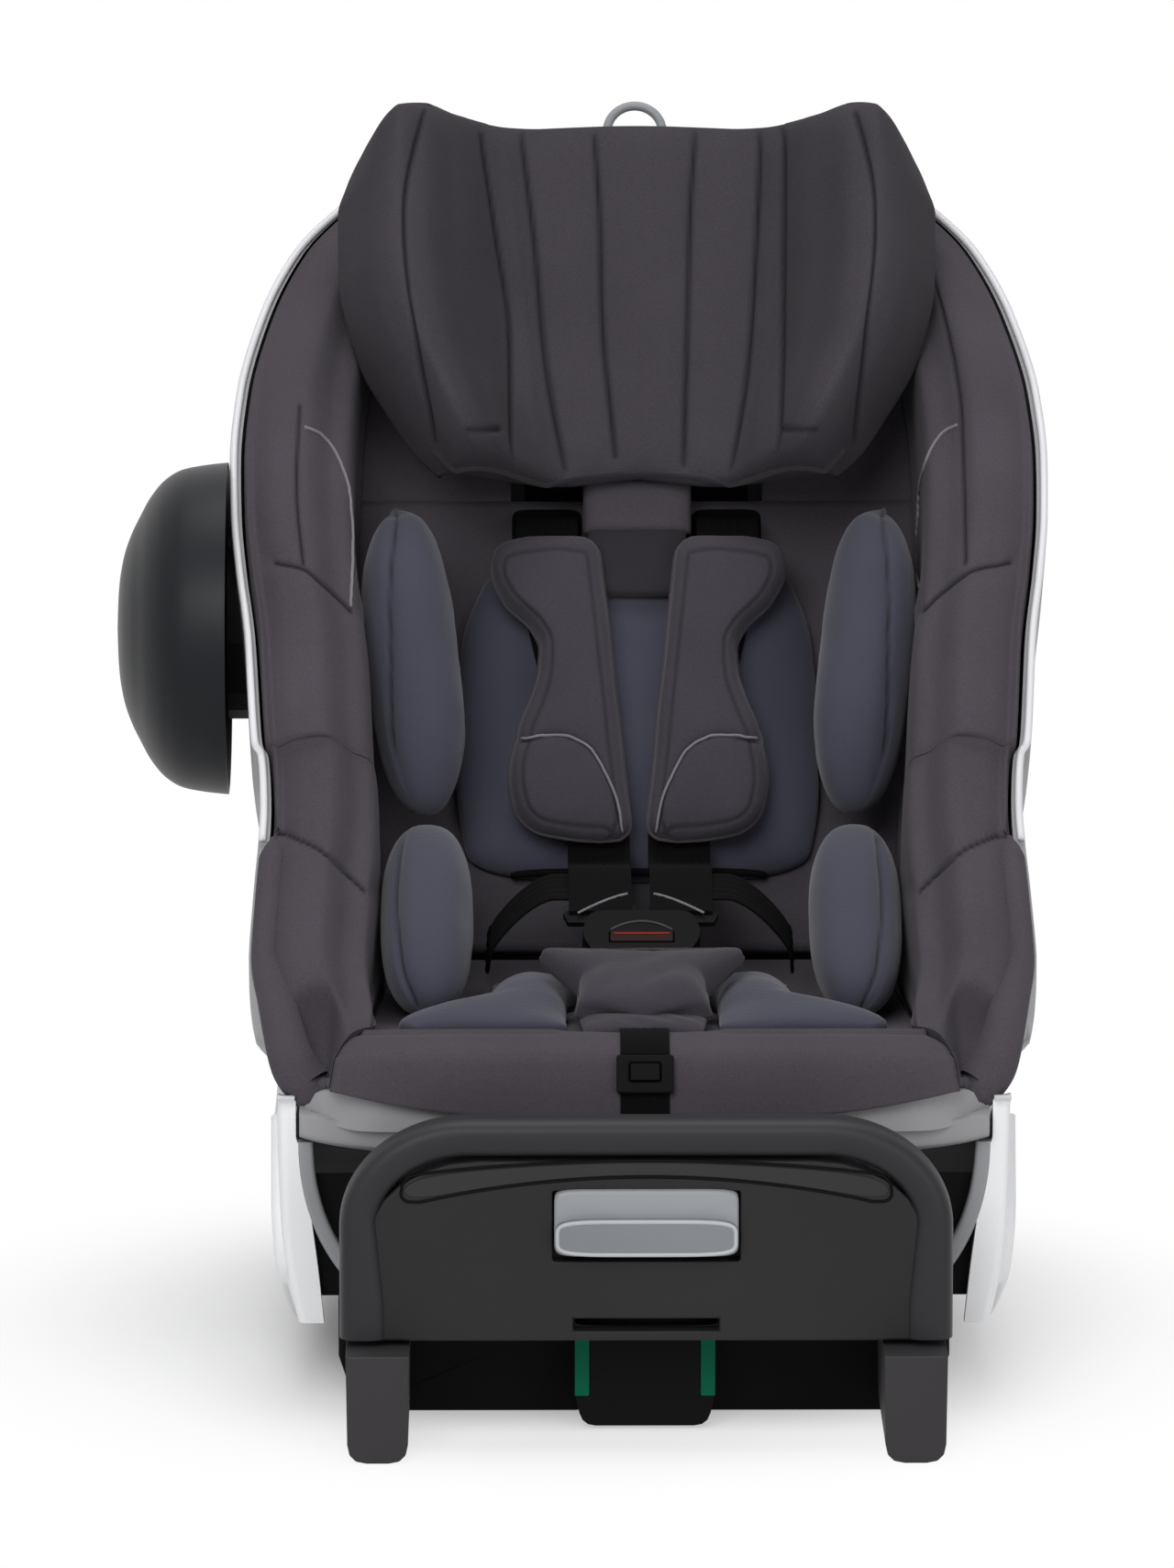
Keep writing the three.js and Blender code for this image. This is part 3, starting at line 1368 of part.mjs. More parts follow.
function footStrip(side) {
  const front = innerFront - gap - footDepth;
  const [a, b] = inOrder(side * footHalfWidth, side * (footHalfWidth - stripWidth + gap));
  return block(a, b, front, front + stripThickness, stripLow, stripLow + stripHeight);
}

// Side impact cup and its mount
function lathe(profile, segments) {
  const points = profile.map(([radius, height]) => new THREE.Vector2(radius, height));
  return new THREE.LatheGeometry(points, segments);
}

function onSeatSide(geometry) {
  geometry.applyMatrix4(new THREE.Matrix4().set(
    0, -1, 0, -cupBase,
    1, 0, 0, cupY,
    0, 0, 1, cupZ,
    0, 0, 0, 1,
  ));
  return geometry;
}

const cupProfileShares = [
  [1, 0], [0.99, 0.15], [0.96, 0.4], [0.9, 0.56], [0.79, 0.7], [0.68, 0.79], [0.57, 0.87],
  [0.43, 0.94], [0.26, 0.98], [0, 1],
];
const cupRoof = 0.975 * (cupDepth - cupWall);

// A hollow dome with a hub inside that slides on the mount's spigot.
function sideCup() {
  const outer = cupProfileShares.map(([r, h]) => [r * cupRadius, h * cupDepth]);
  const scale = (cupRadius - cupWall) / cupRadius;
  const inner = cupProfileShares.slice(0, -2).map(([r, h]) => (
    [r * cupRadius * scale, h * (cupDepth - cupWall)]
  ));
  const bore = spigotRadius + runningGap;
  const hub = [
    [bore + cupWall, cupRoof], [bore + cupWall, cupWall], [bore, cupWall], [bore, cupRoof], [0, cupRoof],
  ];
  return onSeatSide(lathe([...outer, ...[...inner, ...hub].reverse(), outer[0]], 28));
}

function cupMount() {
  const disc = lathe([
    [0, -cupMountReach], [cupMountRadius, -cupMountReach], [cupMountRadius, -gap], [spigotRadius, -gap],
    [spigotRadius, cupRoof - gap], [0, cupRoof - gap],
  ], 20);
  return fromSolid(solid(onSeatSide(disc)).subtract(solid(tubFilled())));
}

// The tub with its hollow filled, a little larger than the shell: what the cup's mount is cut by.
function tubFilled() {
  const rings = stations.map((at) => {
    const grown = { ...at, halfWidth: at.halfWidth + gap };
    const left = spreadShares.map((spread) => shellPoint(grown, spread, -1, 0));
    const right = spreadShares.slice(0, -1).reverse().map((spread) => shellPoint(grown, spread, 1, 0));
    return [...left, ...right];
  });
  return loft(rings);
}

const bodyPieces = {
  base_tray: [baseTray(), blackPlastic],
  base_cradle: [baseCradle(), blackPlastic],
  rebound_frame: [reboundFrame(), rimRubber],
  rebound_panel: [reboundPanel(), darkPlastic],
  recline_handle: [reclineHandle(), handleGrey],
  load_leg_outer: [loadLegOuter(), aluminium],
  load_leg_inner: [loadLegInner(), aluminium],
  load_leg_button: [loadLegButton(), darkPlastic],
  load_leg_foot: [loadLegFoot(), blackPlastic],
  seat_shell: [seatShell(), shellGrey],
  cover_seat: [coverSeat(), fabric],
  cover_back: [coverBack(), fabric],
  headrest_rails: [headrestRails(), steel],
  headrest_shell: [headrestShell(), blackPlastic],
  headrest_pad: [headrestPad(), fabric],
  headrest_apron: [headrestApron(), fabric],
  headrest_handle: [headrestHandle(), handleGrey],
  insert_back: [insertBack(), insertFabric],
  insert_seat: [insertSeat(), insertFabric],
  crotch_strap: [crotchStrap(), webbing],
  crotch_pad: [crotchPad(), fabric],
  buckle_housing: [buckleHousing(), blackPlastic],
  buckle_button: [bucklePlate(buttonOutline(0), -hookThickness, buttonTravel / 4), buttonRed],
  adjuster_housing: [adjusterHousing(), blackPlastic],
  adjuster_button: [adjusterButton(), darkPlastic],
  adjuster_strap: [adjusterStrap(), webbing],
  side_cup: [sideCup(), cupBlack],
  side_cup_mount: [cupMount(), blackPlastic],
};

Object.entries(bodyPieces).forEach(([name, [geometry, material]]) => add(name, geometry, material));

forSides((word, side) => {
  add(`side_plate_${word}`, sidePlate(side), silver);
  add(`cradle_trim_${word}`, cradleTrim(side), silver);
  add(`isofix_arm_${word}`, isofixArm(side), steel);
  add(`isofix_hook_${word}`, isofixHook(side), steel);
  add(`isofix_release_${word}`, isofixRelease(side), darkPlastic);
  add(`connector_cover_${word}`, connectorCover(side), legPlastic);
  add(`foot_strip_${word}`, footStrip(side), markerGreen);
  add(`cover_side_${word}`, wingBar(side, sidePlaces), fabric);
  add(`cover_wing_${word}`, wingBar(side, wingPlaces), fabric);
  add(`rim_piping_${word}`, rimPiping(side), pipingSilver);
  add(`headrest_wing_${word}`, headrestWing(side), fabric);
  add(`harness_belt_${word}`, harnessBelt(side), webbing);
  add(`buckle_tongue_${word}`, buckleTongue(side), blackPlastic);
  add(`shoulder_pad_${word}`, shoulderPad(side), fabric);
  add(`insert_wing_${word}`, bolster(
    side,
    wallAt,
    [bolsterV, bolsterW],
    [bolsterHalfThickness, bolsterHalfHeight, bolsterHalfDepth],
    0,
  ), insertFabric);
  add(`insert_hip_${word}`, bolster(
    side,
    () => hipWall,
    [hipBolsterV, hipBolsterW],
    [hipBolsterHalfThickness, hipBolsterHalfHeight, hipBolsterHalfDepth],
    hipBolsterLean,
  ), insertFabric);
});

const object = new THREE.Group();
object.add(seatFrame);
const rearMost = Math.max(...stations.map(({ keel }) => keel[0]));
seatFrame.position.set((cupBase + cupDepth - shellHalfWidth) / 2, (coverFront - rearMost) / 2, 0);

export default object;
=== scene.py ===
"""The looks of a rear-facing child car seat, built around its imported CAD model.

Shapes are worked out in millimetres in the seat's own frame: x = 0 is its plane of symmetry, y runs from
the child's feet to the seat's back, and z = 0 is the underside of the base. world() turns them into the row
frame. Lines that follow the photograph are given as its pixels, (column, row).
"""

import json
import math

import bmesh
import bpy
import numpy as np
from mathutils import Matrix, Vector

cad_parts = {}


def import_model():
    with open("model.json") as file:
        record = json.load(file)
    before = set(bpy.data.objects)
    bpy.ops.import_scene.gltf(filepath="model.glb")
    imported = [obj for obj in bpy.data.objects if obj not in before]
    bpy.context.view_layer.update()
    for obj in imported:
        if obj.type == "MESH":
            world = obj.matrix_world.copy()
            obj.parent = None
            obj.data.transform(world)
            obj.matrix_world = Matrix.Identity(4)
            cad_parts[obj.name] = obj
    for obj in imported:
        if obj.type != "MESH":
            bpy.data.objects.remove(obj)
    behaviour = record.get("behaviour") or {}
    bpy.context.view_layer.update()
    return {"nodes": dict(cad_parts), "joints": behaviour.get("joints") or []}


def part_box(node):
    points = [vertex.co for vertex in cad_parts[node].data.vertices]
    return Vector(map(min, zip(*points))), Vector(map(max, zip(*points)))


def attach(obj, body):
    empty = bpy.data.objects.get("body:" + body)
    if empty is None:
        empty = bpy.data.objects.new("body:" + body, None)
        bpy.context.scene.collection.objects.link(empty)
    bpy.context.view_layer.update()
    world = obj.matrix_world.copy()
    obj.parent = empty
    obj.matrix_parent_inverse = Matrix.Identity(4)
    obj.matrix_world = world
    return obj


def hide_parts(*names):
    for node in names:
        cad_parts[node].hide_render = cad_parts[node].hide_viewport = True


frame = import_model()

# Where the seat's own frame stands in the row frame
shell_low, shell_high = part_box("seat_shell")
recline = next(joint for joint in frame["joints"] if joint["name"] == "seat_recline")
PIVOT_Y, PIVOT_Z = -20.0, 560.0
MIDDLE = np.array([(shell_low.x + shell_high.x) / 2, recline["pos_m"][1] - PIVOT_Y / 1000, 0.0])

# Sizes shared with the solids
GAP = 0.3
BACK_ANGLE = math.radians(29)
BACK_LENGTH = 484
BIGHT_Y, BIGHT_Z = 70, 185
PAN_LENGTH = 260
CREST_RISE = 21
COVER_THICKNESS = 12
SHELL_HALF_WIDTH = 224
SHELL_WALL = 6
SHELL_DEPTH = 50
WING_RISE, WING_WIDTH, WING_CROWN = 167, 68, 14
ROCKER_RADIUS = 451.5
PLATE_RADIUS = 425
CRADLE_HALF_WIDTH = 186
HEAD_HALF_WIDTH, HEAD_BOTTOM, HEAD_HEIGHT, HEAD_DROP = 166, 264, 221, 24
HEAD_DEPTH, HEAD_FLOOR, HIP_SHARE = 90, 36, 0.79
BUCKLE_Y, BUCKLE_Z, BUCKLE_TILT = -74, 225, math.radians(24)
BUCKLE_LENGTH, BUCKLE_THICKNESS = 44, 20
WEB_WIDTH, WEB_THICKNESS = 34, 1.8
PANEL_HALF_WIDTH, PANEL_TOP, PANEL_SOLE = 160, 171, 60
PAD_HALF_WIDTH, PAD_FOOT, PAD_HEAD = 89, 66, 243
PAD_FOOT_GAP, PAD_HEAD_GAP, PAD_FLOOR, PAD_THICKNESS = 3.6, 22, 37, 22
BELT_SLOT_X, BELT_SLOT_V, BELT_END_X = 50, 262.5, 22
BACK_OPENING_X, BACK_OPENING_V = 70, 280

SIDES = ((-1, "left"), (1, "right"))
SIDEWAYS, INWARD, UPWARD = np.eye(3)

# The photograph's frame, the object's middle column in it, and the camera that took it
PHOTO_WIDTH, PHOTO_HEIGHT = 1280, 1709
MIDDLE_COLUMN = 697
CAMERA_DISTANCE = 6000
FOCAL_PIXELS, SENSOR_HEIGHT = 12070, 36
CAMERA_TURN, CAMERA_RISE = math.radians(0.4), math.radians(10)
CAMERA_TARGET = np.array([-29.0, 0.0, 306.0])
FORWARD = np.array([
    math.sin(CAMERA_TURN) * math.cos(CAMERA_RISE),
    math.cos(CAMERA_TURN) * math.cos(CAMERA_RISE),
    -math.sin(CAMERA_RISE),
])
RIGHT = np.array([math.cos(CAMERA_TURN), -math.sin(CAMERA_TURN), 0.0])
UP = np.cross(RIGHT, FORWARD)
EYE = CAMERA_TARGET - FORWARD * CAMERA_DISTANCE


def world(points):
    """Millimetres of the seat's frame to metres of the row frame: scaled, then moved by MIDDLE."""
    return np.asarray(points, float) / 1000 + MIDDLE


def pixels(points):
    """Where points show in the photograph: offset from the eye over depth, times the focal length."""
    away = np.asarray(points, float) - EYE
    depth = away @ FORWARD
    column = PHOTO_WIDTH / 2 + FOCAL_PIXELS * (away @ RIGHT) / depth
    row = PHOTO_HEIGHT / 2 - FOCAL_PIXELS * (away @ UP) / depth
    return np.stack([column, row], -1)


def mix(a, b, t):
    """The value a share t of the way from a to b."""
    return a + (b - a) * t


def ramp(value, start, end):
    """Nothing up to start, one from end on, and evenly between them."""
    return np.clip((value - start) / (end - start), 0, 1)


def rounded(share, power, root=0.4):
    """One inside and nothing at -1 and 1: (1 - |share|^power)^root."""
    return np.clip(1 - np.abs(share) ** power, 0, 1) ** root


def hump(value, middle, width):
    """A bell curve: exp(-((value - middle) / width)^2)."""
    return np.exp(-((value - middle) / width) ** 2)


def signed_power(value, power):
    """The value's size to a power, with its sign kept."""
    return np.sign(value) * np.abs(value) ** power


def unit(vectors):
    """The vectors at length one."""
    return vectors / np.maximum(np.linalg.norm(vectors, axis=-1, keepdims=True), 1e-9)


def smooth(knots, values):
    """A curve through values at knots: cubic pieces, each slope the harmonic mean of its neighbours'."""
    x, y = np.asarray(knots, float), np.asarray(values, float)
    run = np.maximum(np.diff(x), 1e-9)
    rise = np.diff(y) / run
    slope = np.empty_like(y)
    slope[0], slope[-1] = rise[0], rise[-1]
    product = rise[:-1] * rise[1:]
    total = np.where(product > 0, rise[:-1] + rise[1:], 1)
    slope[1:-1] = np.where(product > 0, 2 * product / total, 0)

    def at(t):
        """The curve's value at t."""
        t = np.clip(t, x[0], x[-1])
        k = np.clip(np.searchsorted(x, t, side="right") - 1, 0, len(run) - 1)
        s = (t - x[k]) / run[k]
        return (
            (2 * s**3 - 3 * s**2 + 1) * y[k] + (s**3 - 2 * s**2 + s) * run[k] * slope[k]
            + (3 * s**2 - 2 * s**3) * y[k + 1] + (s**3 - s**2) * run[k] * slope[k + 1]
        )

    return at


def leaning(origin, angle, x, along, out):
    """A point of a frame that leans by angle: along its face, and out off it."""
    x, along, out = np.broadcast_arrays(np.asarray(x, float), along, out)
    y = origin[0] + along * math.cos(angle) - out * math.sin(angle)
    z = origin[1] + along * math.sin(angle) + out * math.cos(angle)
    return np.stack([x, y, z], -1)


def back(x, v, w):
    """A point of the back's frame: v up the back from the bight, w out of it towards the child."""
    return leaning((BIGHT_Y, BIGHT_Z), math.pi / 2 - BACK_ANGLE, x, v, w)


def on_buckle(x, along, out):
    """A point of the buckle's frame: along its face towards the tongues, out off the face."""
    return leaning((BUCKLE_Y, BUCKLE_Z), BUCKLE_TILT, x, along, out)


# The tub's stations, from the front lip to the top of the back, as shares of the sizes above.
# The pan's rows: floor (forward, up), rim (forward, up), keel's angle in degrees, half-width, wing.
# The back's rows: floor (up), rim (up, out), keel (up, out), half-width, wing.
PAN_SHARES = np.array([
    [1.092, -0.9, 0.965, -0.105, -24.6, 0.82, 0.26],
    [1.062, 0.6, 0.952, -0.06, -23.4, 0.85, 0.42],
    [1.0, 1.0, 0.935, 0.0, -22.2, 0.885, 0.66],
    [0.808, 0.57, 0.808, 0.168, -16.7, 0.92, 0.92],
    [0.596, 0.33, 0.692, 0.281, -10.2, 0.938, 0.94],
    [0.365, 0.14, 0.577, 0.461, -2.5, 0.929, 0.95],
    [0.154, 0.05, 0.442, 0.677, 6.4, 0.916, 0.95],
    [0.0, 0.5, 0.365, 0.838, 15.4, 0.924, 0.96],
])
BACK_SHARES = np.array([
    [0.11, 0.17, 0.92, 0.05, -1.9, 0.938, 0.98],
    [0.21, 0.311, 0.843, 0.15, -2.05, 0.96, 1.0],
    [0.3, 0.391, 0.8, 0.275, -1.58, 0.982, 1.0],
    [0.4, 0.465, 0.746, 0.415, -1.25, 0.996, 1.0],
    [0.5, 0.545, 0.671, 0.555, -1.06, 1.0, 1.0],
    [0.62, 0.634, 0.574, 0.69, -1.0, 0.987, 0.98],
    [0.76, 0.752, 0.37, 0.82, -0.98, 0.94, 0.94],
    [0.88, 0.856, 0.225, 0.92, -0.95, 0.855, 0.9],
    [0.98, 0.961, 0.105, 1.0, -0.9, 0.67, 0.85],
])
LAST_STATION = len(PAN_SHARES) + len(BACK_SHARES) - 1
LIP_STATIONS, LIP_STEP = 3, 12
SIDE_CLEARANCE, CRADLE_CLEARANCE = 14, 4
SEAM_PLACE = len(PAN_SHARES) - 0.5


def stations():
    """Curves through the stations: floor, rim and keel in (y, z), half-width, wing and section."""
    angles = np.radians(PAN_SHARES[:, 4])
    radii = np.full(len(PAN_SHARES), ROCKER_RADIUS)
    radii[0] -= LIP_STEP
    pan = {
        "floor": [BIGHT_Y - PAN_SHARES[:, 0] * PAN_LENGTH, BIGHT_Z + PAN_SHARES[:, 1] * CREST_RISE],
        "rim": [BIGHT_Y - PAN_SHARES[:, 2] * PAN_LENGTH, BIGHT_Z + PAN_SHARES[:, 3] * WING_RISE],
        "keel": [PIVOT_Y + radii * np.sin(angles), PIVOT_Z - radii * np.cos(angles)],
    }
    up = {
        "floor": back(0, BACK_SHARES[:, 0] * BACK_LENGTH, 0),
        "rim": back(0, BACK_SHARES[:, 1] * BACK_LENGTH, BACK_SHARES[:, 2] * WING_RISE),
        "keel": back(0, BACK_SHARES[:, 3] * BACK_LENGTH, BACK_SHARES[:, 4] * SHELL_DEPTH),
    }
    knots = np.arange(LAST_STATION + 1)
    lines = {
        key: [smooth(knots, np.concatenate([pan[key][n], up[key][:, n + 1]])) for n in range(2)]
        for key in pan
    }
    lines["half"] = smooth(knots, np.concatenate([PAN_SHARES[:, 5], BACK_SHARES[:, 5]]) * SHELL_HALF_WIDTH)
    lines["wing"] = smooth(knots, np.concatenate([PAN_SHARES[:, 6], BACK_SHARES[:, 6]]) * WING_WIDTH)
    lines["box"] = smooth(knots, np.where(knots < LIP_STATIONS, 5, 3))
    return lines


STATIONS = stations()


def line_at(key, place):
    """The floor, rim or keel at each place, as (y, z)."""
    return np.stack([curve(place) for curve in STATIONS[key]], -1)


def shell_point(place, spread, side, inset):
    """The shell's section: a superellipse from keel to rim, narrowed where it passes the side plates."""
    place, spread = np.broadcast_arrays(np.asarray(place, float), spread)
    rim, keel = line_at("rim", place), line_at("keel", place)
    half, box = STATIONS["half"](place), STATIONS["box"](place)
    length = np.linalg.norm(rim - keel, axis=-1)
    start = keel + (rim - keel) * (inset / length)[..., None]
    angle = spread * math.pi / 2
    out = np.sin(angle) ** (2 / box)
    up = np.clip(1 - np.cos(angle) ** (2 / box), 0, 1)
    up = up * ramp(spread, 0.1, 0.3)
    y, z = np.moveaxis(mix(start, rim, up[..., None]), -1, 0)
    above = PLATE_RADIUS - SIDE_CLEARANCE - inset - np.hypot(y - PIVOT_Y, z - PIVOT_Z)
    wide = np.minimum(half * out, CRADLE_HALF_WIDTH - CRADLE_CLEARANCE + np.maximum(above, 0))
    return np.stack([side * (wide - inset * out), y, z], -1)


# Meshes, and how near points are joined, in metres
WELD_DISTANCE, FLAT_DISTANCE = 2e-6, 1e-7


def grid_faces(rows, columns, round_rows=False, round_columns=False):
    """The squares between neighbouring points of a grid, which may close on itself either way."""
    i = np.arange(rows if round_rows else rows - 1)[:, None]
    j = np.arange(columns if round_columns else columns - 1)[None, :]
    below, beside = (i + 1) % rows, (j + 1) % columns
    corners = [i * columns + j, i * columns + beside, below * columns + beside, below * columns + j]
    return np.stack([np.broadcast_to(corner, (len(i), j.shape[1])) for corner in corners], -1).reshape(-1, 4)


def placed(name, data):
    """A new object in the scene, at the origin."""
    thing = bpy.data.objects.new(name, data)
    bpy.context.scene.collection.objects.link(thing)
    return thing


def make(name, body, points, faces, finish, stands_for=(), seam_shade=(), edge=None, fill=None):
    """One piece: its points welded where they meet, its faces turned outwards, its finish and its body.

    The painted shade of seams and grooves marks the first points, and the rest are plain. edge is the angle
    from which an edge stays sharp.
    """
    mesh = bpy.data.meshes.new(name)
    mesh.from_pydata(world(points).reshape(-1, 3).tolist(), [], np.asarray(faces).tolist())
    # Painted shade of seams and grooves, kept as a point attribute
    marks = np.zeros(len(mesh.vertices))
    marks[:np.size(seam_shade)] = np.ravel(seam_shade)
    mesh.attributes.new("seam_shade", "FLOAT", "POINT").data.foreach_set("value", marks)
    shape = bmesh.new()
    shape.from_mesh(mesh)
    bmesh.ops.remove_doubles(shape, verts=shape.verts, dist=WELD_DISTANCE)
    bmesh.ops.dissolve_degenerate(shape, edges=shape.edges, dist=FLAT_DISTANCE)
    bmesh.ops.recalc_face_normals(shape, faces=shape.faces)
    for face in shape.faces:
        face.smooth = True
    if edge is not None:
        for side in shape.edges:
            side.smooth = side.calc_face_angle(0) < math.radians(edge)
    shape.to_mesh(mesh)
    shape.free()
    piece = placed(name, mesh)
    mesh.materials.append(finish["material"])
    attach(piece, body)
    if stands_for:
        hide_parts(*([stands_for] if isinstance(stands_for, str) else stands_for))


def joined(*parts):
    """Several (points, faces) as one."""
    counts = np.cumsum([0] + [len(np.reshape(points, (-1, 3))) for points, _ in parts])
    points = np.concatenate([np.reshape(points, (-1, 3)) for points, _ in parts])
    faces = np.concatenate([np.asarray(faces) + start for (_, faces), start in zip(parts, counts)])
    return points, faces


def walled(sheet, ring, count):
    """The faces of a sheet of count points, of its copy behind, and of the wall between their edges."""
    after = np.roll(ring, -1)
    wall = np.stack([ring, after, after + count, ring + count], -1)
    return np.concatenate([sheet, sheet[:, ::-1] + count, wall])


def between(front, behind):
    """A closed form from two grids of the same size: both faces and the four sides that join their edges."""
    rows, columns = front.shape[:2]
    ring = np.concatenate([
        np.arange(columns),
        np.arange(1, rows) * columns + columns - 1,
        (rows - 1) * columns + np.arange(columns - 2, -1, -1),
        np.arange(rows - 2, 0, -1) * columns,
    ])
    faces = walled(grid_faces(rows, columns), ring, rows * columns)
    return np.concatenate([front.reshape(-1, 3), behind.reshape(-1, 3)]), faces


def lofted(rings):
    """A closed form from rings of equal count, each end drawn together to the ring's middle."""
    ends = [ring.mean(1, keepdims=True).repeat(rings.shape[1], 1) for ring in (rings[:1], rings[-1:])]
    whole = np.concatenate([ends[0], rings, ends[1]])
    return whole.reshape(-1, 3), grid_faces(whole.shape[0], whole.shape[1], round_columns=True)


def capped(marks):
    """Seam marks of rings, as lofted() orders their points."""
    return np.concatenate([marks[:1], marks, marks[-1:]])


def normals(grid):
    """The grid's normals: its two slopes crossed, each turned to the side that the camera sees."""
    face = unit(np.cross(np.gradient(grid, axis=0), np.gradient(grid, axis=1)))
    return face * np.where(((EYE - grid) * face).sum(-1, keepdims=True) < 0, -1, 1)


def travelled(line):
    """How far along the line each of its points lies."""
    return np.concatenate([[0], np.cumsum(np.linalg.norm(np.diff(line, axis=0), axis=1))])


def resampled(line, count):
    """Points at equal steps along a line whose corners are rounded."""
    line = np.asarray(line, float)
    place = travelled(line)
    steps = np.linspace(0, place[-1], count)
    return np.stack([smooth(place, column)(steps) for column in line.T], -1)


def distance(points, lines):
    """The distance in the picture from each point to the nearest of the lines."""
    flat = points.reshape(-1, 2)
    nearest = np.full(len(flat), 1e9)
    for line in lines:
        path = resampled(line, 4 * len(line) + 8)
        for a, b in zip(path[:-1], path[1:]):
            run = b - a
            t = np.clip(((flat - a) @ run) / max(run @ run, 1e-9), 0, 1)
            nearest = np.minimum(nearest, np.linalg.norm(flat - a - t[:, None] * run, axis=1))
    return nearest.reshape(points.shape[:-1])


def creased(grid, lines, width, depth, wide=15.0, swell=1.6, where=1.0):
    """The grid drawn in along the lines, sharply over width and softly over wide, and a mask of painted shade
    in the seams.
    """
    gap = distance(pixels(grid), lines)
    sharp = hump(gap, 0, width) * where
    dip = depth * sharp + swell * hump(gap, 0, wide) * where
    return grid - normals(grid) * dip[..., None], sharp


def laid(grid, line, count, lift):
    """The picture's line laid on the grid: the mean of the four points that show nearest, lifted off it."""
    path = resampled(line, count)
    shown = pixels(grid).reshape(-1, 2)
    points, face = grid.reshape(-1, 3), normals(grid).reshape(-1, 3)
    gap = np.linalg.norm(path[:, None] - shown[None], axis=-1)
    near = np.argpartition(gap, 4, axis=1)[:, :4]
    weight = 1 / (np.take_along_axis(gap, near, 1) ** 2 + 0.05)
    weight /= weight.sum(1, keepdims=True)
    on = (points[near] * weight[..., None]).sum(1) + lift * (face[near] * weight[..., None]).sum(1)
    padded_path = np.concatenate([on[:1], on, on[-1:]])
    return (padded_path[:-2] + 2 * padded_path[1:-1] + padded_path[2:]) / 4


def tube(path, radius, sides=8, loop=False):
    """A round bar: a circle carried along the path, square to it, with its ends drawn together."""
    path = np.asarray(path, float)
    run = unit(np.roll(path, -1, 0) - np.roll(path, 1, 0) if loop else np.gradient(path, axis=0))
    beside = unit(np.cross(run, FORWARD))
    over = np.cross(beside, run)
    turn = np.arange(sides) / sides * 2 * math.pi
    circle = np.cos(turn)[None, :, None] * beside[:, None] + np.sin(turn)[None, :, None] * over[:, None]
    rings = path[:, None] + np.broadcast_to(radius, len(path))[:, None, None] * circle
    if loop:
        return rings.reshape(-1, 3), grid_faces(len(path), sides, round_rows=True, round_columns=True)
    return lofted(rings)


def carried(path, across, out, section):
    """A flat section, as pairs (across, out), carried along the path and closed at its ends."""
    across, out = np.broadcast_to(across, path.shape), np.broadcast_to(out, path.shape)
    rings = path[:, None] + section[None, :, :1] * across[:, None] + section[None, :, 1:] * out[:, None]
    return lofted(rings)


def superellipse(count, half_a, half_b, power):
    """A rounded box as a ring: cosine and sine, each to the power 2 / power."""
    turn = (np.arange(count) + 0.5) / count * 2 * math.pi
    a, b = signed_power(np.cos(turn), 2 / power), signed_power(np.sin(turn), 2 / power)
    return np.stack([half_a * a, half_b * b], -1)


def facing(ring, y, middle=0):
    """A ring of (x, z) pairs stood upright at the depth y, its middle raised."""
    return np.column_stack([ring[:, 0], np.broadcast_to(y, len(ring)), middle + ring[:, 1]])


def straight(a, b, count):
    """Points at equal steps from a to b."""
    return mix(np.array(a), np.array(b), np.linspace(0, 1, count)[:, None])


def bend(a, b, c, count):
    """A curve from a to c that is drawn towards b."""
    t = np.linspace(0, 1, count)[:, None]
    return (1 - t) ** 2 * a + 2 * t * (1 - t) * b + t**2 * c


def pillow(u, v, power, soft):
    """How full a pad stands: nothing at its edges, one in the middle."""
    return rounded(2 * u - 1, power, soft) * rounded(2 * v - 1, power, soft)


def spread_grid(rows, columns):
    """u down the rows and v across the columns, both closer together near the edges."""
    even = [np.linspace(0, 1, count) for count in (rows, columns)]
    return np.meshgrid(*[mix(0.5 - 0.5 * np.cos(math.pi * t), t, 0.5) for t in even], indexing="ij")


def mirrored(line):
    """The picture's line turned over about the object's middle column."""
    return [(2 * MIDDLE_COLUMN - column, row) for column, row in line]


# Finishes
def tone(red, green, blue):
    """A screen colour as the linear one that a shader takes."""
    share = np.array([red, green, blue]) / 255
    return (*np.where(share <= 0.04045, share / 12.92, ((share + 0.055) / 1.055) ** 2.4), 1.0)


def fill_in(tree, node, inputs):
    """Gives a node's inputs their values, or links them to other nodes' outputs."""
    for label, value in inputs.items():
        if isinstance(value, bpy.types.NodeSocket):
            tree.links.new(value, node.inputs[label])
        else:
            node.inputs[label].default_value = value


def add(tree, kind, output, inputs=None, **settings):
    """One output of a new node with the given settings and inputs."""
    node = tree.nodes.new(f"ShaderNode{kind}")
    for name, value in settings.items():
        setattr(node, name, value)
    fill_in(tree, node, inputs or {})
    return node.outputs[output]


def compute(tree, operation, a, b, clamp=False):
    """a and b added, multiplied or subtracted."""
    return add(tree, "Math", 0, {0: a, 1: b}, operation=operation, use_clamp=clamp)


def blend(tree, factor, first, second):
    """The first colour to the second by a factor."""
    return add(tree, "Mix", "Result", {"Factor": factor, "A": first, "B": second}, data_type="RGBA")


def noise(tree, place, scale, detail):
    """Soft noise between 0 and 1."""
    return add(tree, "TexNoise", "Fac", {"Vector": place, "Scale": scale, "Detail": detail})


def bump(tree, height, strength, depth):
    """The surface's normal, turned by a height of the given depth in metres."""
    return add(tree, "Bump", "Normal", {"Height": height, "Strength": strength, "Distance": depth})


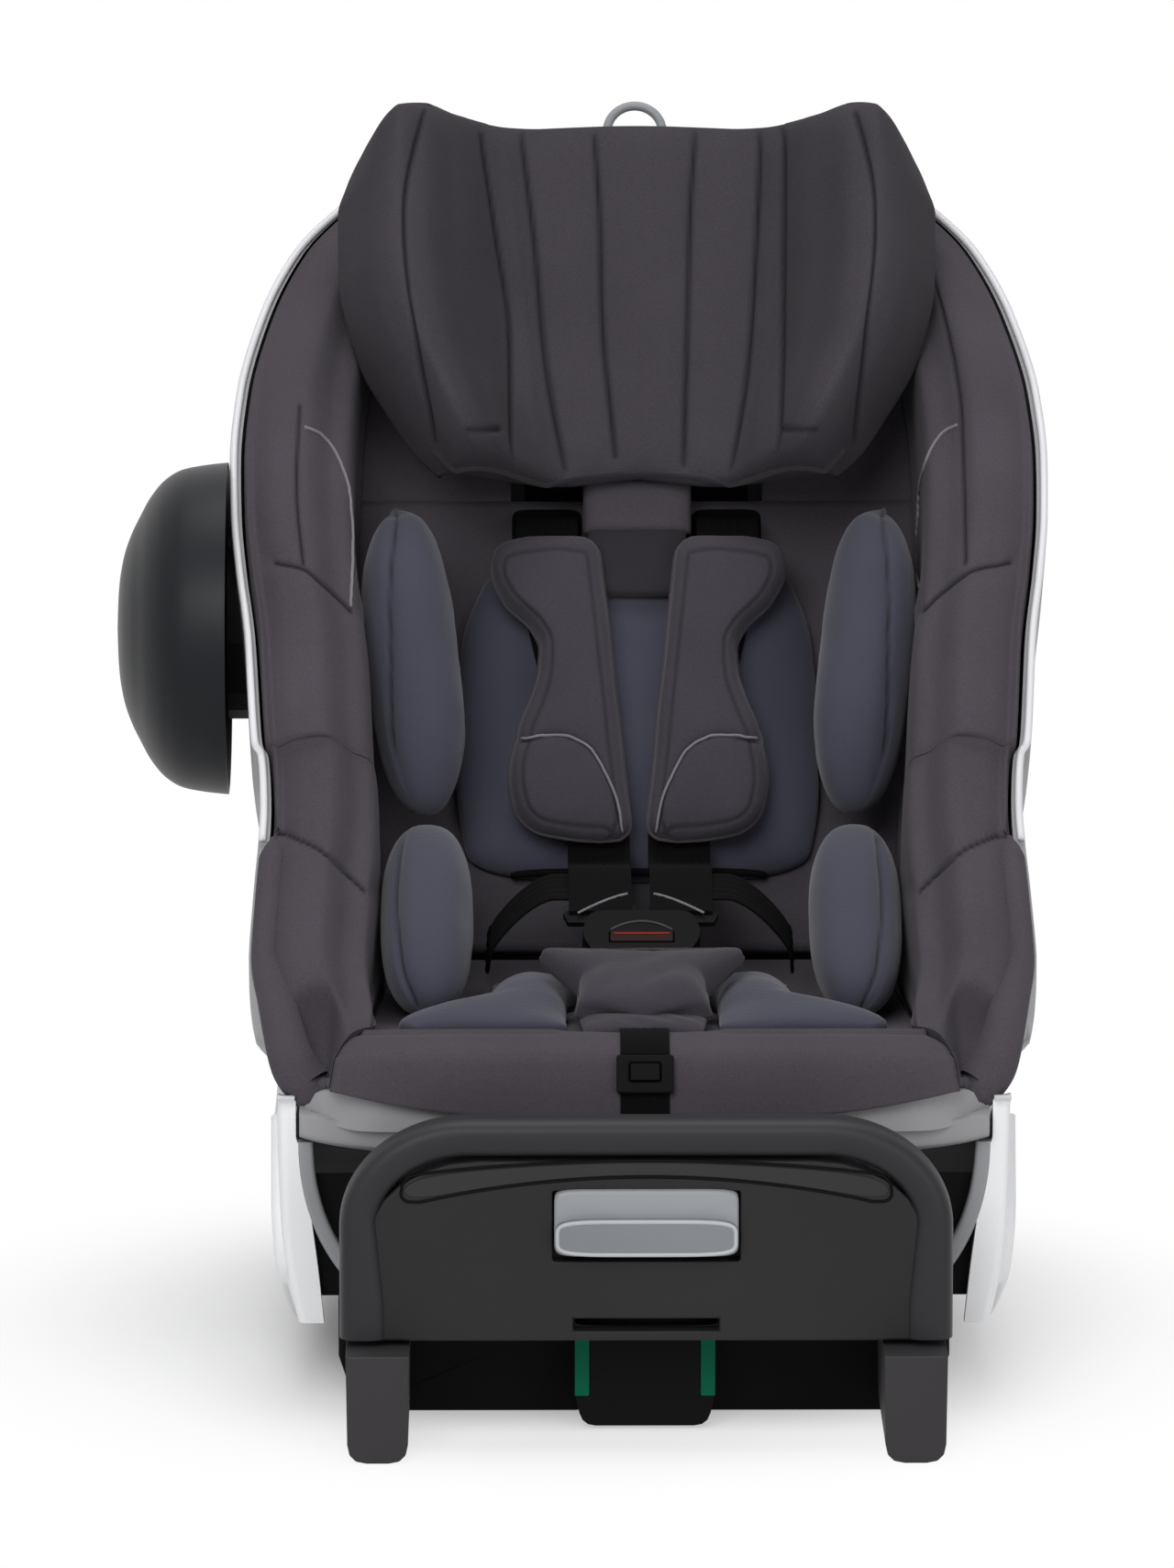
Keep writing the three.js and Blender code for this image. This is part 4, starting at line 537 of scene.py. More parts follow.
def new_group(name, inputs):
    """A node group with a Tint and a Height: the group, its inputs' sockets and its last node."""
    group = bpy.data.node_groups.new(name, "ShaderNodeTree")
    for label, value in inputs.items():
        socket = group.interface.new_socket(label, in_out="INPUT", socket_type="NodeSocketFloat")
        socket.default_value = value
    for label in ("Tint", "Height"):
        group.interface.new_socket(label, in_out="OUTPUT", socket_type="NodeSocketFloat")
    return group, group.nodes.new("NodeGroupInput").outputs, group.nodes.new("NodeGroupOutput")


def weave_group():
    """Melange cloth: crossed threads, flecks of lighter yarn and slow shading, from Object coordinates."""
    group, given, result = new_group("woven cloth", {"Thread": 900.0, "Fleck": 0.5, "Shading": 0.3})
    place = add(group, "TexCoord", "Object")
    flecks, patches = noise(group, place, given["Thread"], 3.0), noise(group, place, 14.0, 2.0)
    scale = compute(group, "MULTIPLY", given["Thread"], 0.35)
    height, tint = flecks, 0.5
    for axis in "XZ":
        threads = {"Vector": place, "Scale": scale, "Distortion": 1.5, "Detail Scale": 2.0}
        wave = add(group, "TexWave", "Fac", threads, wave_type="BANDS", bands_direction=axis)
        height = compute(group, "ADD", height, wave)
    for pattern, label in ((patches, "Shading"), (flecks, "Fleck")):
        share = compute(group, "MULTIPLY", compute(group, "SUBTRACT", pattern, 0.5), given[label])
        tint = compute(group, "ADD", share, tint, clamp=label == "Fleck")
    fill_in(group, result, {"Tint": tint, "Height": height})
    return group


def grain_group():
    """Moulded plastic: fine grain for the bump, slow patches for colour and gloss."""
    group, given, result = new_group("moulded grain", {"Grain": 1600.0, "Patch": 9.0})
    place = add(group, "TexCoord", "Object")
    grain, patches = [noise(group, place, given[label], 3.0) for label in ("Grain", "Patch")]
    fill_in(group, result, {"Tint": patches, "Height": grain})
    return group


WEAVE = weave_group()
GRAIN = grain_group()


def new_material(name):
    """A material, its node tree and its shader."""
    material = bpy.data.materials.new(name)
    material.use_nodes = True
    return material, material.node_tree, material.node_tree.nodes["Principled BSDF"]


def shared(tree, group, inputs):
    """The outputs of a shared group."""
    node = tree.nodes.new("ShaderNodeGroup")
    node.node_tree = group
    fill_in(tree, node, inputs)
    return node.outputs


def cloth(name, slot, dark, light, seam_shade, thread=900.0, fleck=0.9, sheen=0.12):
    """Woven cloth between two colours, with painted shade in its seams and grooves."""
    material, tree, shader = new_material(name)
    weave = shared(tree, WEAVE, {"Thread": thread, "Fleck": fleck, "Shading": 0.5})
    base = blend(tree, weave["Tint"], tone(*dark), tone(*light))
    # The mark blends the cloth towards its third colour, painted shade in seams and grooves
    mark = add(tree, "Attribute", "Fac", attribute_name="seam_shade")
    fill_in(tree, shader, {
        "Base Color": blend(tree, mark, base, tone(*seam_shade)), "Roughness": 0.92, "Sheen Weight": sheen,
        "Sheen Roughness": 0.5, "Specular IOR Level": 0.12,
        "Normal": bump(tree, weave["Height"], 0.22, 0.0003),
    })
    return {"material": material, "slot": slot}


def moulded(name, slot, dark, light, rough, metal=0.0, grain=0.15, shine=0.4):
    """Moulded plastic or metal between two colours, with fine grain and uneven gloss."""
    material, tree, shader = new_material(name)
    surface = shared(tree, GRAIN, {})
    gloss = {"Value": surface["Tint"], "To Min": rough[0], "To Max": rough[1]}
    fill_in(tree, shader, {
        "Base Color": blend(tree, surface["Tint"], tone(*dark), tone(*light)), "Metallic": metal,
        "Roughness": add(tree, "MapRange", "Result", gloss), "Specular IOR Level": shine,
        "Normal": bump(tree, surface["Height"], grain, 0.0002),
    })
    return {"material": material, "slot": slot}


# The finishes' colours are screen colours, dark and light, and for cloth a third one, painted shade in its
# seams and grooves
COVER = cloth("charcoal melange", "cover_fabric", (62, 58, 64), (86, 81, 88), (34, 32, 36), sheen=0.04)
# The headrest's cloth is the cover's, painted darker as painted shade
HEAD = cloth("charcoal headrest with painted shade", "cover_fabric", (54, 51, 56), (76, 72, 78), (30, 28, 32), sheen=0.0)
# The cover's cloth painted darker: painted shade on the flap below the headrest's bridge; the headrest's hem
# and the crotch pad's piping take it too
COVER_DEEP = cloth("darker charcoal cover", "cover_fabric", (40, 38, 42), (56, 53, 58), (24, 23, 25), fleck=0.6)
PADS = cloth("charcoal pad cloth", "cover_fabric", (54, 50, 57), (74, 69, 78), (36, 34, 38))
INSERT = cloth("blue grey insert", "insert_fabric", (60, 61, 73), (79, 79, 94), (44, 44, 53),
               fleck=0.5, sheen=0.2)
# Grey piping cloth, used as well for the painted highlight on each buckle tongue
PIPING_AND_HIGHLIGHT = cloth("grey piping and tongue highlight", "cover_fabric", (112, 109, 116), (136, 133, 140), (90, 88, 94), sheen=0.1)
WEBBING = cloth("black webbing", "webbing", (3, 3, 4), (9, 9, 10), (3, 3, 4), thread=1500.0, sheen=0.0)
# Black cloth: the insert's own black hem, and painted shade in the belt slots
HEM_BLACK_AND_SLOT_SHADE = cloth("black hem and slot shade", "webbing", (8, 8, 9), (16, 15, 17), (4, 4, 5), sheen=0.0)
MATT, PLAIN, SMOOTH = (0.5, 0.62), (0.45, 0.6), (0.4, 0.5)
BLACK = moulded("black plastic", "black_plastic", (5, 5, 6), (13, 13, 14), (0.5, 0.65), shine=0.08)
DARK = moulded("panel plastic", "dark_plastic", (29, 29, 30), (38, 38, 39), MATT, shine=0.2)
INLAY = moulded("panel inlay", "dark_plastic", (40, 40, 41), (49, 49, 50), (0.5, 0.6), shine=0.2)
LEGS = moulded("connector caps", "leg_plastic", (46, 44, 46), (56, 54, 56), MATT, shine=0.2)
RUBBER = moulded("blue black rim", "rim_rubber", (31, 31, 34), (41, 41, 45), (0.42, 0.55), shine=0.25)
SHELL = moulded("shell grey", "shell_grey", (138, 138, 140), (158, 158, 161), (0.45, 0.58))
SILVER = moulded("silver", "silver", (236, 237, 240), (248, 249, 251), (0.35, 0.45))
HANDLE = moulded("handle grey", "handle_grey", (138, 141, 145), (152, 155, 159), (0.32, 0.45), shine=0.3)
BRIGHT = moulded("silver piping", "piping_silver", (214, 213, 217), (236, 235, 239), (0.35, 0.5))
CUP = moulded("cup black", "cup_black", (13, 15, 19), (22, 24, 29), (0.38, 0.48), grain=0.05, shine=0.2)
# The silver finish painted mid grey, as painted shade on the trims behind the panel
TRIM_SHADED = moulded("silver trim shaded grey", "silver", (132, 134, 137), (150, 152, 155), SMOOTH)
# The handle's grey painted darker on its lower lip as painted shade, and lighter on the lip's rim as a
# painted highlight
HANDLE_SHADED = moulded("handle lip shaded darker", "handle_grey", (116, 119, 123), (130, 133, 137), SMOOTH, shine=0.3)
HANDLE_HIGHLIGHT = moulded("handle rim highlight", "handle_grey", (168, 171, 175), (184, 187, 191), (0.3, 0.4))
STEEL = moulded("zinc steel", "steel", (120, 122, 125), (150, 152, 155), (0.3, 0.5), metal=0.9)
ALUMINIUM = moulded("leg tube metal", "leg_metal", (58, 59, 61), (78, 79, 81), SMOOTH, metal=0.6)
RED = moulded("red button", "button_red", (26, 12, 11), (34, 15, 13), PLAIN, shine=0.1)
RED_LINE = moulded("red line", "button_red", (138, 34, 22), (160, 44, 30), PLAIN, shine=0.1)
GREEN = moulded("green marker", "marker_green", (1, 84, 60), (3, 106, 76), PLAIN, shine=0.1)

# Hard parts of the model that stay as they are: their finish and the rounding of their edges in millimetres
BEVEL_WELD, BEVEL_ANGLE = 0.00002, math.radians(32)
BEVELS = {
    "base_tray": (BLACK, 2.0), "base_cradle": (BLACK, 2.0), "load_leg_outer": (ALUMINIUM, 1.0),
    "load_leg_inner": (ALUMINIUM, 0.8), "load_leg_button": (DARK, 0.8), "load_leg_foot": (BLACK, 2.5),
    "headrest_rails": (STEEL, 0.6), "headrest_shell": (BLACK, 1.0), "buckle_housing": (BLACK, 1.6),
    "buckle_button": (RED, 0.6), "adjuster_housing": (BLACK, 1.2), "adjuster_button": (BLACK, 0.6),
    "side_cup_mount": (BLACK, 0.8), "rebound_panel": (DARK, 1.4),
}
PAIRED_BEVELS = {
    "isofix_arm": (STEEL, 0.5), "isofix_hook": (STEEL, 0.5), "isofix_release": (DARK, 0.8),
    "connector_cover": (LEGS, 1.6), "foot_strip": (GREEN, 0.6), "buckle_tongue": (BLACK, 0.6),
}
for stem, choice in PAIRED_BEVELS.items():
    for _, word in SIDES:
        BEVELS[f"{stem}_{word}"] = choice
for node_name, (finish, width) in BEVELS.items():
    node = frame["nodes"][node_name]
    node.data.materials.clear()
    node.data.materials.append(finish["material"])
    node.modifiers.new("weld", "WELD").merge_threshold = BEVEL_WELD
    rounding = node.modifiers.new("edges", "BEVEL")
    rounding.width = width / 1000
    rounding.segments = 3
    rounding.limit_method = "ANGLE"
    rounding.angle_limit = BEVEL_ANGLE


# The seat
def shell():
    """The tub: its outside, and its inside a wall's thickness in, from keel to rim on both sides."""
    place = np.linspace(0, LAST_STATION, 97)[:, None]
    spread = np.linspace(-1, 1, 141)[None, :]
    faces = [shell_point(place, np.abs(spread), np.sign(spread), inset) for inset in (0, SHELL_WALL)]
    make("shell", "seat", *between(*faces), SHELL, "seat_shell", edge=50)


HEM_START, HEM_PLACE, HEM_END = 0.05, 5.6, 5.65
HEM_RADIUS, HEM_FOOT_RADIUS = 7.5, 12.5
CORNER_LIFT = 14
LIP_HALF_WIDTH, LIP_FRONT, LIP_REAR = 182, -207.5, -203
LIP_LOW, LIP_HIGH, LIP_BOW = 157, 165, 25
CORD_RADIUS = 2.1


def corner_rise(place):
    """How far the cover's lower corners are lifted off the shell."""
    return CORNER_LIFT * ramp(place, 1, 0)


def rim_line(side, first, last, count, out, above):
    """A line along the rim, out from the shell's half-width and above the rim."""
    place = np.linspace(first, last, count)
    rim = line_at("rim", place)
    y, z = (rim + unit(rim - line_at("floor", place)) * above).T
    return np.stack([side * (STATIONS["half"](place) + out), y, z], -1)


def shell_lip():
    """The shell's front edge where the cover's corners lift off it: an upright band, higher at its ends."""
    x = np.linspace(-LIP_HALF_WIDTH, LIP_HALF_WIDTH, 140)
    out = np.abs(x)
    low = LIP_LOW + 9 * ramp(out, 150, LIP_HALF_WIDTH) ** 2
    under_cover, past_cover = ramp(out, 66.4, 157.7) ** 1.5, ramp(out, 162, LIP_HALF_WIDTH)
    high = LIP_HIGH + CORNER_LIFT * under_cover - 8 * past_cover
    bow = LIP_BOW * ramp(out, 136, LIP_HALF_WIDTH) ** 2
    section = ((LIP_FRONT, low), (LIP_FRONT, high), (LIP_REAR, high), (LIP_REAR, low))
    rings = [np.column_stack([x, y + bow, z]) for y, z in section]
    make("shell_lip", "seat", *lofted(np.stack(rings, 1)), SHELL, edge=50)


def rim_pipes():
    """A bright cord along the rim, and below its end the cover's own hem drawn over the shell's edge."""
    place = np.linspace(HEM_START, HEM_END, 160)
    radius = mix(HEM_RADIUS, HEM_FOOT_RADIUS, ramp(place, 3.9, 2.0))
    foot = np.maximum(ramp(place, HEM_START, 0.35), 0.05)
    head = np.maximum(ramp(place, HEM_END, HEM_END - 0.25), 0.1)
    for side, word in SIDES:
        cord = tube(rim_line(side, HEM_PLACE, LAST_STATION, 160, -CORD_RADIUS, 2.4), CORD_RADIUS)
        make(f"rim_cord_{word}", "seat", *cord, BRIGHT, f"rim_piping_{word}")
        line = rim_line(side, HEM_START, HEM_END, 160, -1.2 - radius, 0.5)
        line[:, 2] += corner_rise(place)
        hem = tube(line, radius * np.sqrt(foot * head), 24)
        make(f"cover_hem_{word}", "seat", *hem, COVER, fill=0.5)


def round_section(controls, count):
    """A closed curve through each row's control points: Catmull-Rom pieces."""
    number = controls.shape[1]
    t = np.arange(count) / count * number
    k = t.astype(int)
    s = (t - k)[None, :, None]
    a, b, c, d = (controls[:, (k + step) % number] for step in (-1, 0, 1, 2))
    square, cube = 2 * a - 5 * b + 4 * c - d, 3 * b - a - 3 * c + d
    return 0.5 * (2 * b + (c - a) * s + square * s**2 + cube * s**3)


# Seams of the left and the right bar, and the arc of piping on each, in the photograph's pixels
BAR_SEAMS = {
    -1: [
        [(298, 612), (330, 618), (360, 640), (385, 665)],
        [(327, 440), (323, 530), (330, 612)],
        [(298, 903), (350, 925), (400, 970)],
    ],
    1: [
        [(1104, 612), (1060, 620), (1030, 640), (1003, 665)],
        [(1015, 290), (1045, 450), (1050, 612)],
        [(1108, 903), (1050, 925), (1000, 970)],
    ],
}
BAR_ARCS = {
    -1: [(331, 465), (350, 474), (370, 502), (381, 540), (384, 600), (382, 662)],
    1: [(1045, 463), (1030, 470), (1013, 495), (1002, 540), (1000, 600), (1003, 662)],
}
BAR_POINTS, BAR_SEEN = 132, 88
# The bar's section: (across, up) on its inner wall and top, (across, crown) above the rim, and the
# shell's section from the rim down
BAR_WALL = ((0, 0.03), (0, 0.35), (0, 0.7), (0.03, 0.93), (0.2, 1.0))
BAR_CROWN = ((0.45, 1.0), (0.72, 0.85), (0.9, 0.35))
BAR_OUTSIDE = (1, 0.88, 0.74, 0.58)


def blunt(share):
    """A rounded end: nothing at 0, one at 1, upright at its tip."""
    power = 2.4
    return (1 - (1 - np.clip(share, 0.02, 1)) ** power) ** (1 / power)


def wing_bar(side, first, last, rows):
    """The cover's bar round a side wall: wall, crown and the face against the shell as one closed section."""
    place = np.linspace(first, last, rows)
    floor, rim = line_at("floor", place), line_at("rim", place)
    half, wing = STATIONS["half"](place), STATIONS["wing"](place)
    inset = SHELL_WALL + 1.9 * (2 - ramp(place, 2, 3))
    inner, outer = half - wing, half - inset
    up = unit(rim - floor)
    points = []
    for across, rise in BAR_WALL:
        points.append(np.column_stack([side * (inner + GAP + across * wing), mix(floor, rim, rise)]))
    for across, rise in BAR_CROWN:
        points.append(np.column_stack([side * mix(inner, outer, across), rim + up * rise * WING_CROWN]))
    for spread in BAR_OUTSIDE:
        points.append(shell_point(place, np.full(rows, spread), side, inset))
    ring = round_section(np.stack(points, 1), BAR_POINTS)
    ring[..., 2] += corner_rise(place)[:, None]
    middle = ring.mean(1, keepdims=True)
    soft = np.ones(rows)
    if first == 0:
        soft = blunt(place / 0.14)
    if last == LAST_STATION:
        soft = blunt((last - place) / 0.4)
    seam_end = hump(place, SEAM_PLACE, 0.05)
    return middle + (ring - middle) * (soft * (1 - 0.06 * seam_end))[:, None, None], seam_end


def wing_bars():
    """On each side a lower and an upper bar that meet at a join with painted shade along it, with an arc of
    piping on the upper one.
    """
    spans = (("cover_side", 0, SEAM_PLACE - 0.03, 150), ("cover_wing", SEAM_PLACE, LAST_STATION, 190))
    seen = (np.arange(BAR_POINTS) < BAR_SEEN) * 1.0
    for side, word in SIDES:
        for stem, first, last, rows in spans:
            ring, end = wing_bar(side, first, last, rows)
            ring, marks = creased(ring, BAR_SEAMS[side], width=2.2, depth=1.6, where=seen)
            # Painted shade where the lower and the upper bar meet
            marks = capped(np.maximum(marks, 0.8 * end[:, None]))
            make(f"{stem}_padded_{word}", "seat", *lofted(ring), COVER, f"{stem}_{word}", marks, fill=0.7)
            if stem == "cover_wing":
                cord = tube(laid(ring[:, :BAR_SEEN], BAR_ARCS[side], 80, 0.3), 0.9)
                make(f"wing_piping_{word}", "seat", *cord, PIPING_AND_HIGHLIGHT)


COVER_SEAMS = [
    [(395, 1115), (350, 1145), (340, 1190)],
    [(360, 1122), (500, 1119), (600, 1118)],
    [(794, 1118), (900, 1119), (1034, 1122)],
]


def pan_half(place):
    """Half the pan's width between the side walls."""
    return STATIONS["half"](place) - STATIONS["wing"](place) - GAP


def seat_cover():
    """The pan's cover from the bight over the crest and down the front roll."""
    bight = len(PAN_SHARES) - 1
    place = np.linspace(0, bight, 130)
    across = np.linspace(-1, 1, 121)[None, :]
    floor = line_at("floor", place)
    run = unit(np.gradient(floor, axis=0))
    out = np.column_stack([-run[:, 1], run[:, 0]])
    below = floor - COVER_THICKNESS * out
    x = pan_half(place)[:, None] * across
    fullness, strap = 5.0, 26
    roll = hump(place, 0.9, 0.9)[:, None]
    plump = fullness * roll * (1 - np.abs(across) ** 8) * (1 - np.exp(-(x / strap) ** 4))
    rise = ramp(np.abs(across), 0.45, 1) ** 1.7 * corner_rise(place)[:, None]
    front = np.stack([x, floor[:, :1] + plump * out[:, :1], floor[:, 1:] + plump * out[:, 1:] + rise], -1)
    x = pan_half(np.minimum(place + 1.3, bight))[:, None] * across
    behind = np.stack([x, np.broadcast_to(below[:, :1], x.shape), below[:, 1:] + rise], -1)
    seams = [COVER_SEAMS[0], mirrored(COVER_SEAMS[0]), *COVER_SEAMS[1:]]
    front, marks = creased(front, seams, width=2.2, depth=1.4)
    make("seat_cover", "seat", *between(front, behind), COVER, "cover_seat", marks, fill=0.5)


def back_cover():
    """The back's cover: a sheet below the rails' opening and one on each side of it."""
    shares = [0, *BACK_SHARES[:, 0]]
    places = smooth(shares, len(PAN_SHARES) - 1 + np.arange(len(shares)))

    def sheet(low, high, left, right, rows, columns):
        """The cover between two heights and two sides; None stands for the pan's own side."""
        v = np.linspace(low, high, rows)[:, None]
        half = pan_half(places(v / BACK_LENGTH))
        edges = [side * half if edge is None else np.full_like(half, edge)
                 for side, edge in ((-1, left), (1, right))]
        x = mix(edges[0], edges[1], np.linspace(0, 1, columns)[None, :])
        return between(back(x, v, 0), back(x, v, -COVER_THICKNESS))

    low, top = 0.035 * BACK_LENGTH, 0.97 * BACK_LENGTH
    whole = joined(
        sheet(low, BACK_OPENING_V, None, None, 60, 90),
        sheet(BACK_OPENING_V, top, None, -BACK_OPENING_X, 40, 30),
        sheet(BACK_OPENING_V, top, BACK_OPENING_X, None, 40, 30),
    )
    make("back_cover", "seat", *whole, COVER, "cover_back", fill=0.4)
    # A black plug in each belt slot: painted shade in the slot
    slot = superellipse(40, 19.5, 12.5, 6)
    for side, word in SIDES:
        rings = [back(side * BELT_SLOT_X + slot[:, 0], BELT_SLOT_V + slot[:, 1], w) for w in (-1, 0.5)]
        make(f"belt_slot_shade_{word}", "seat", *lofted(np.stack(rings)), HEM_BLACK_AND_SLOT_SHADE)


# The headrest: its half-width up its height, its front and its back across it, and its seams, hem and
# notches in the photograph's pixels
HEAD_OUTLINE = smooth(
    [0, 0.06, 0.17, 0.3, 0.43, 0.55, 0.75, 0.83, 0.88, 0.93, 1],
    [0.66, 0.74, 0.83, 0.92, 0.97, 0.995, 1.0, 0.972, 0.948, 0.915, 0.83],
)
HEAD_ACROSS = [0, 0.15, 0.31, 0.43, 0.6, 0.71, 0.79, 0.88, 0.955, 1]
HEAD_OUT = smooth(HEAD_ACROSS, [0.27, 0.27, 0.29, 0.4, 0.84, 1.18, 1.27, 1.13, 0.82, 0.55])
HEAD_BEHIND = smooth(HEAD_ACROSS, [0, 0, 0.01, 0.03, 0.09, 0.15, 0.22, 0.31, 0.4, 0.46])
HEAD_SEAMS = [
    [(465, 118), (442, 233), (450, 360), (472, 483)],
    [(528, 146), (545, 260), (559, 365), (562, 513)],
    [(569, 131), (584, 260), (595, 386), (618, 513)],
    [(648, 146), (654, 240), (656, 335), (671, 498)],
    [(758, 141), (752, 240), (750, 335), (745, 508)],
    [(827, 136), (822, 260), (814, 386), (794, 513)],
    [(852, 131), (851, 250), (850, 365), (845, 513)],
    [(931, 121), (954, 233), (948, 360), (934, 483)],
]
HEAD_NOTCHES = [[(510, 470), (545, 468)], [(855, 468), (890, 470)]]
HEAD_HEM = [(474, 488), (495, 512), (520, 528), (570, 532), (630, 520), (697, 515),
            (764, 520), (824, 532), (874, 528), (899, 512), (920, 488)]


def headrest():
    """The headrest's cushion: an outline up its height and a section across it, its rim rounded over."""
    even, spread = np.linspace(0, 1, 150)[:, None], 1.2
    u = (0.5 - np.cos(mix(0.14, 1, even) * math.pi) / 2)
    u = mix((u - u[0]) / (1 - u[0]), even, 0.6)
    across = np.sin(np.linspace(-spread, spread, 241))[None, :] / math.sin(spread)
    size, side = np.abs(across), np.sign(across)
    outline = HEAD_OUTLINE(u)
    ridge = mix(outline, 1.0, ramp(u, 0.7, 0.8))
    beyond = ramp(size, HIP_SHARE, 1)
    width = np.where(beyond > 0, mix(HIP_SHARE * ridge, outline, beyond), size * ridge)
    standing = ramp(size, 0, HIP_SHARE)
    low = HEAD_BOTTOM + HEAD_DROP * (1 - standing) / 2
    high = HEAD_BOTTOM + HEAD_HEIGHT + 1 - 15 * standing**2
    full = rounded(2 * u - 1, 12) * rounded(size, 24)
    out, behind = HEAD_OUT(size) * (1 - 0.1 * (2 * u - 1) ** 6), HEAD_BEHIND(size)
    middle = (out + behind) / 2
    x, v = side * width * HEAD_HALF_WIDTH, mix(low, high, u)
    front, rear = [back(x, v, HEAD_FLOOR + HEAD_DEPTH * mix(middle, face, full)) for face in (out, behind)]
    inside = np.clip(1.8 * full - 0.8, 0, 1)
    front, marks = creased(front, HEAD_SEAMS, width=2.6, depth=2.0, wide=16, swell=1.8, where=inside)
    front, notches = creased(front, HEAD_NOTCHES, width=3.0, depth=2.0, swell=0, where=inside)
    make("headrest_cushion", "headrest", *between(front, rear), HEAD,
         ("headrest_pad", "headrest_wing_left", "headrest_wing_right"), np.maximum(marks, notches), fill=0.75)
    make("headrest_hem", "headrest", *tube(laid(front, HEAD_HEM, 90, 0.5), 1.7), COVER_DEEP)


def headrest_bridge():
    """The small pad between the belt slots, and the flat flap below it."""
    u, v = spread_grid(24, 40)
    half, foot, head, floor = 30, 250, 281.4, 28
    full = pillow(u, v, 6, 0.4)
    x, up = mix(-half, half, v), mix(foot, head, u)
    whole = between(back(x, up, floor + 8.5 * full), back(x, up, floor - 4 * full))
    make("headrest_bridge", "headrest", *whole, COVER, "headrest_apron", fill=0.5)
    half, foot, head, floor = 27, 213, 254, 28.5
    full = pillow(u, v, 8, 0.4)
    x, up = mix(-half, half, v), mix(foot, head, u)
    whole = between(back(x, up, floor + 1 + 3.5 * full), back(x, up, floor))
    # The flap takes painted shade below the bridge pad
    make("headrest_flap", "headrest", *whole, COVER_DEEP, fill=0.2)


def ring_handle():
    """The loop on top of the headrest: two legs and half a circle of round cord."""
    radius, foot, shoulder, centre = 15.5, 479.5, 490, 498.7
    turn = np.linspace(0, math.pi, 40)
    arch = np.stack([radius * np.cos(turn), centre + radius * np.sin(turn)], -1)
    path = np.concatenate([
        [[radius, foot], [radius, shoulder]], arch, [[-radius, shoulder], [-radius, foot]],
    ])
    loop = tube(back(path[:, 0], path[:, 1], 10), 2.6, 12)
    make("ring_handle", "headrest_loop", *loop, HANDLE, "headrest_handle")


def pad_grids(rows, columns, edge, low, thickness, edge_share, power=4):
    """A pad of the back: an outline by two edges, its front crowned; its foot is drawn in a little."""
    u, v = spread_grid(rows, columns)
    inner, outer, at = edge(u)
    x = mix(inner, outer, 0.5 + (v - 0.5) * rounded(2 * u - 1, 28, 0.35))
    front = back(x, at, low + thickness * mix(edge_share, 1, pillow(u, v, power, 0.5)))
    return front, back(x, at, low)


def border(grid):
    """The points round a grid's edge, in order."""
    return np.concatenate([grid[0, :-1], grid[:-1, -1], grid[-1, :0:-1], grid[:0:-1, 0]])


def wavy(grid, size, length, seed, where=1.0):
    """Slack cloth: the grid moved along its normals by a few crossed sine waves of about the given length."""
    spots = np.random.default_rng(seed)
    height, waves = 0, 7
    for _ in range(waves):
        direction = unit(spots.normal(size=3)) * 2 * math.pi / length * spots.uniform(0.5, 1.4)
        height = height + np.sin(grid @ direction + spots.uniform(0, 6.3))
    return grid + normals(grid) * (height / waves * size * where)[..., None]


# The newborn insert
INSERT_BACK_SHARES = smooth([0, 0.08, 0.3, 0.7, 0.9, 1], [0.8, 0.95, 1.0, 0.98, 0.86, 0.7])


def insert_back():
    """The insert's back: a tapered cushion with a dark hem along its foot."""
    half_width, foot, head, thickness = 100, 55, 246, 26

    def edge(u):
        """The insert's left and right side and its height at u."""
        half = half_width * INSERT_BACK_SHARES(u)
        return -half, half, mix(foot, head, u)

    front, behind = pad_grids(70, 80, edge, GAP, thickness, 0.2)
    front = wavy(front, 1.2, 45, 3)
    # The cushion's three rows at its foot take the seam colour, painted shade along the hem
    marks = np.ones(front[:3, :, 0].size)
    make("insert_back_cushion", "seat", *between(front, behind), INSERT, "insert_back", marks, fill=0.6)
    make("insert_back_hem", "seat", *tube(front[2] + [0, -0.8, 0], 2.0), HEM_BLACK_AND_SLOT_SHADE)


def insert_seat():
    """The thigh cushion: two lobes that join behind the crotch strap's U-shaped opening."""
    half_width, opening_half, thickness = 138, 40.8, 12
    widths = smooth([0, 0.5, 0.74, 0.86, 0.95, 1], [0.58, 0.6, 0.62, 0.88, 0.94, 0.88])
    rear, front_end = line_at("floor", 6.0), line_at("floor", 3.0)
    floors = line_at("floor", np.linspace(2, 7, 80))
    floors = floors[np.argsort(floors[:, 0])]
    u, t = spread_grid(80, 60)
    y = mix(rear[0], front_end[0], u)
    z = np.interp(y, floors[:, 0], floors[:, 1])
    opening = opening_half * np.sqrt(1 - (1 - ramp(u, 0.34, 0.5)) ** 2)
    x = mix(opening, half_width * widths(u), t)
    inner = mix(1.0, np.sqrt(1 - (1 - t) ** 6), ramp(opening, 0, 20))
    steep = mix(2.2, 6.0, ramp(u, 0.6, 0.85))
    full = rounded(2 * u - 1, 4, 0.5) * np.sqrt(1 - t**steep) * inner
    mound = hump(y, -60, 52) * hump(x, 74, 48)
    height = GAP + thickness * mix(0.25, 1, full) + full * (4 * ramp(x, 0, half_width) ** 2 + 13.5 * mound)
    parts = []
    for side, _ in SIDES:
        front = wavy(np.stack([side * x, y, z + height], -1), 0.8, 40, 5, ramp(x, 0, 20))
        parts.append(between(front, np.stack([side * x, y, z + GAP], -1)))
    make("insert_thigh_cushion", "seat", *joined(*parts), INSERT, "insert_seat", fill=0.6)


def wall_at(v):
    """Half the tub's width between its side walls, up the back."""
    shares = (BACK_SHARES[:, 0] + BACK_SHARES[:, 1]) / 2 * BACK_LENGTH
    return np.interp(v, shares, BACK_SHARES[:, 5] * SHELL_HALF_WIDTH - BACK_SHARES[:, 6] * WING_WIDTH) - GAP


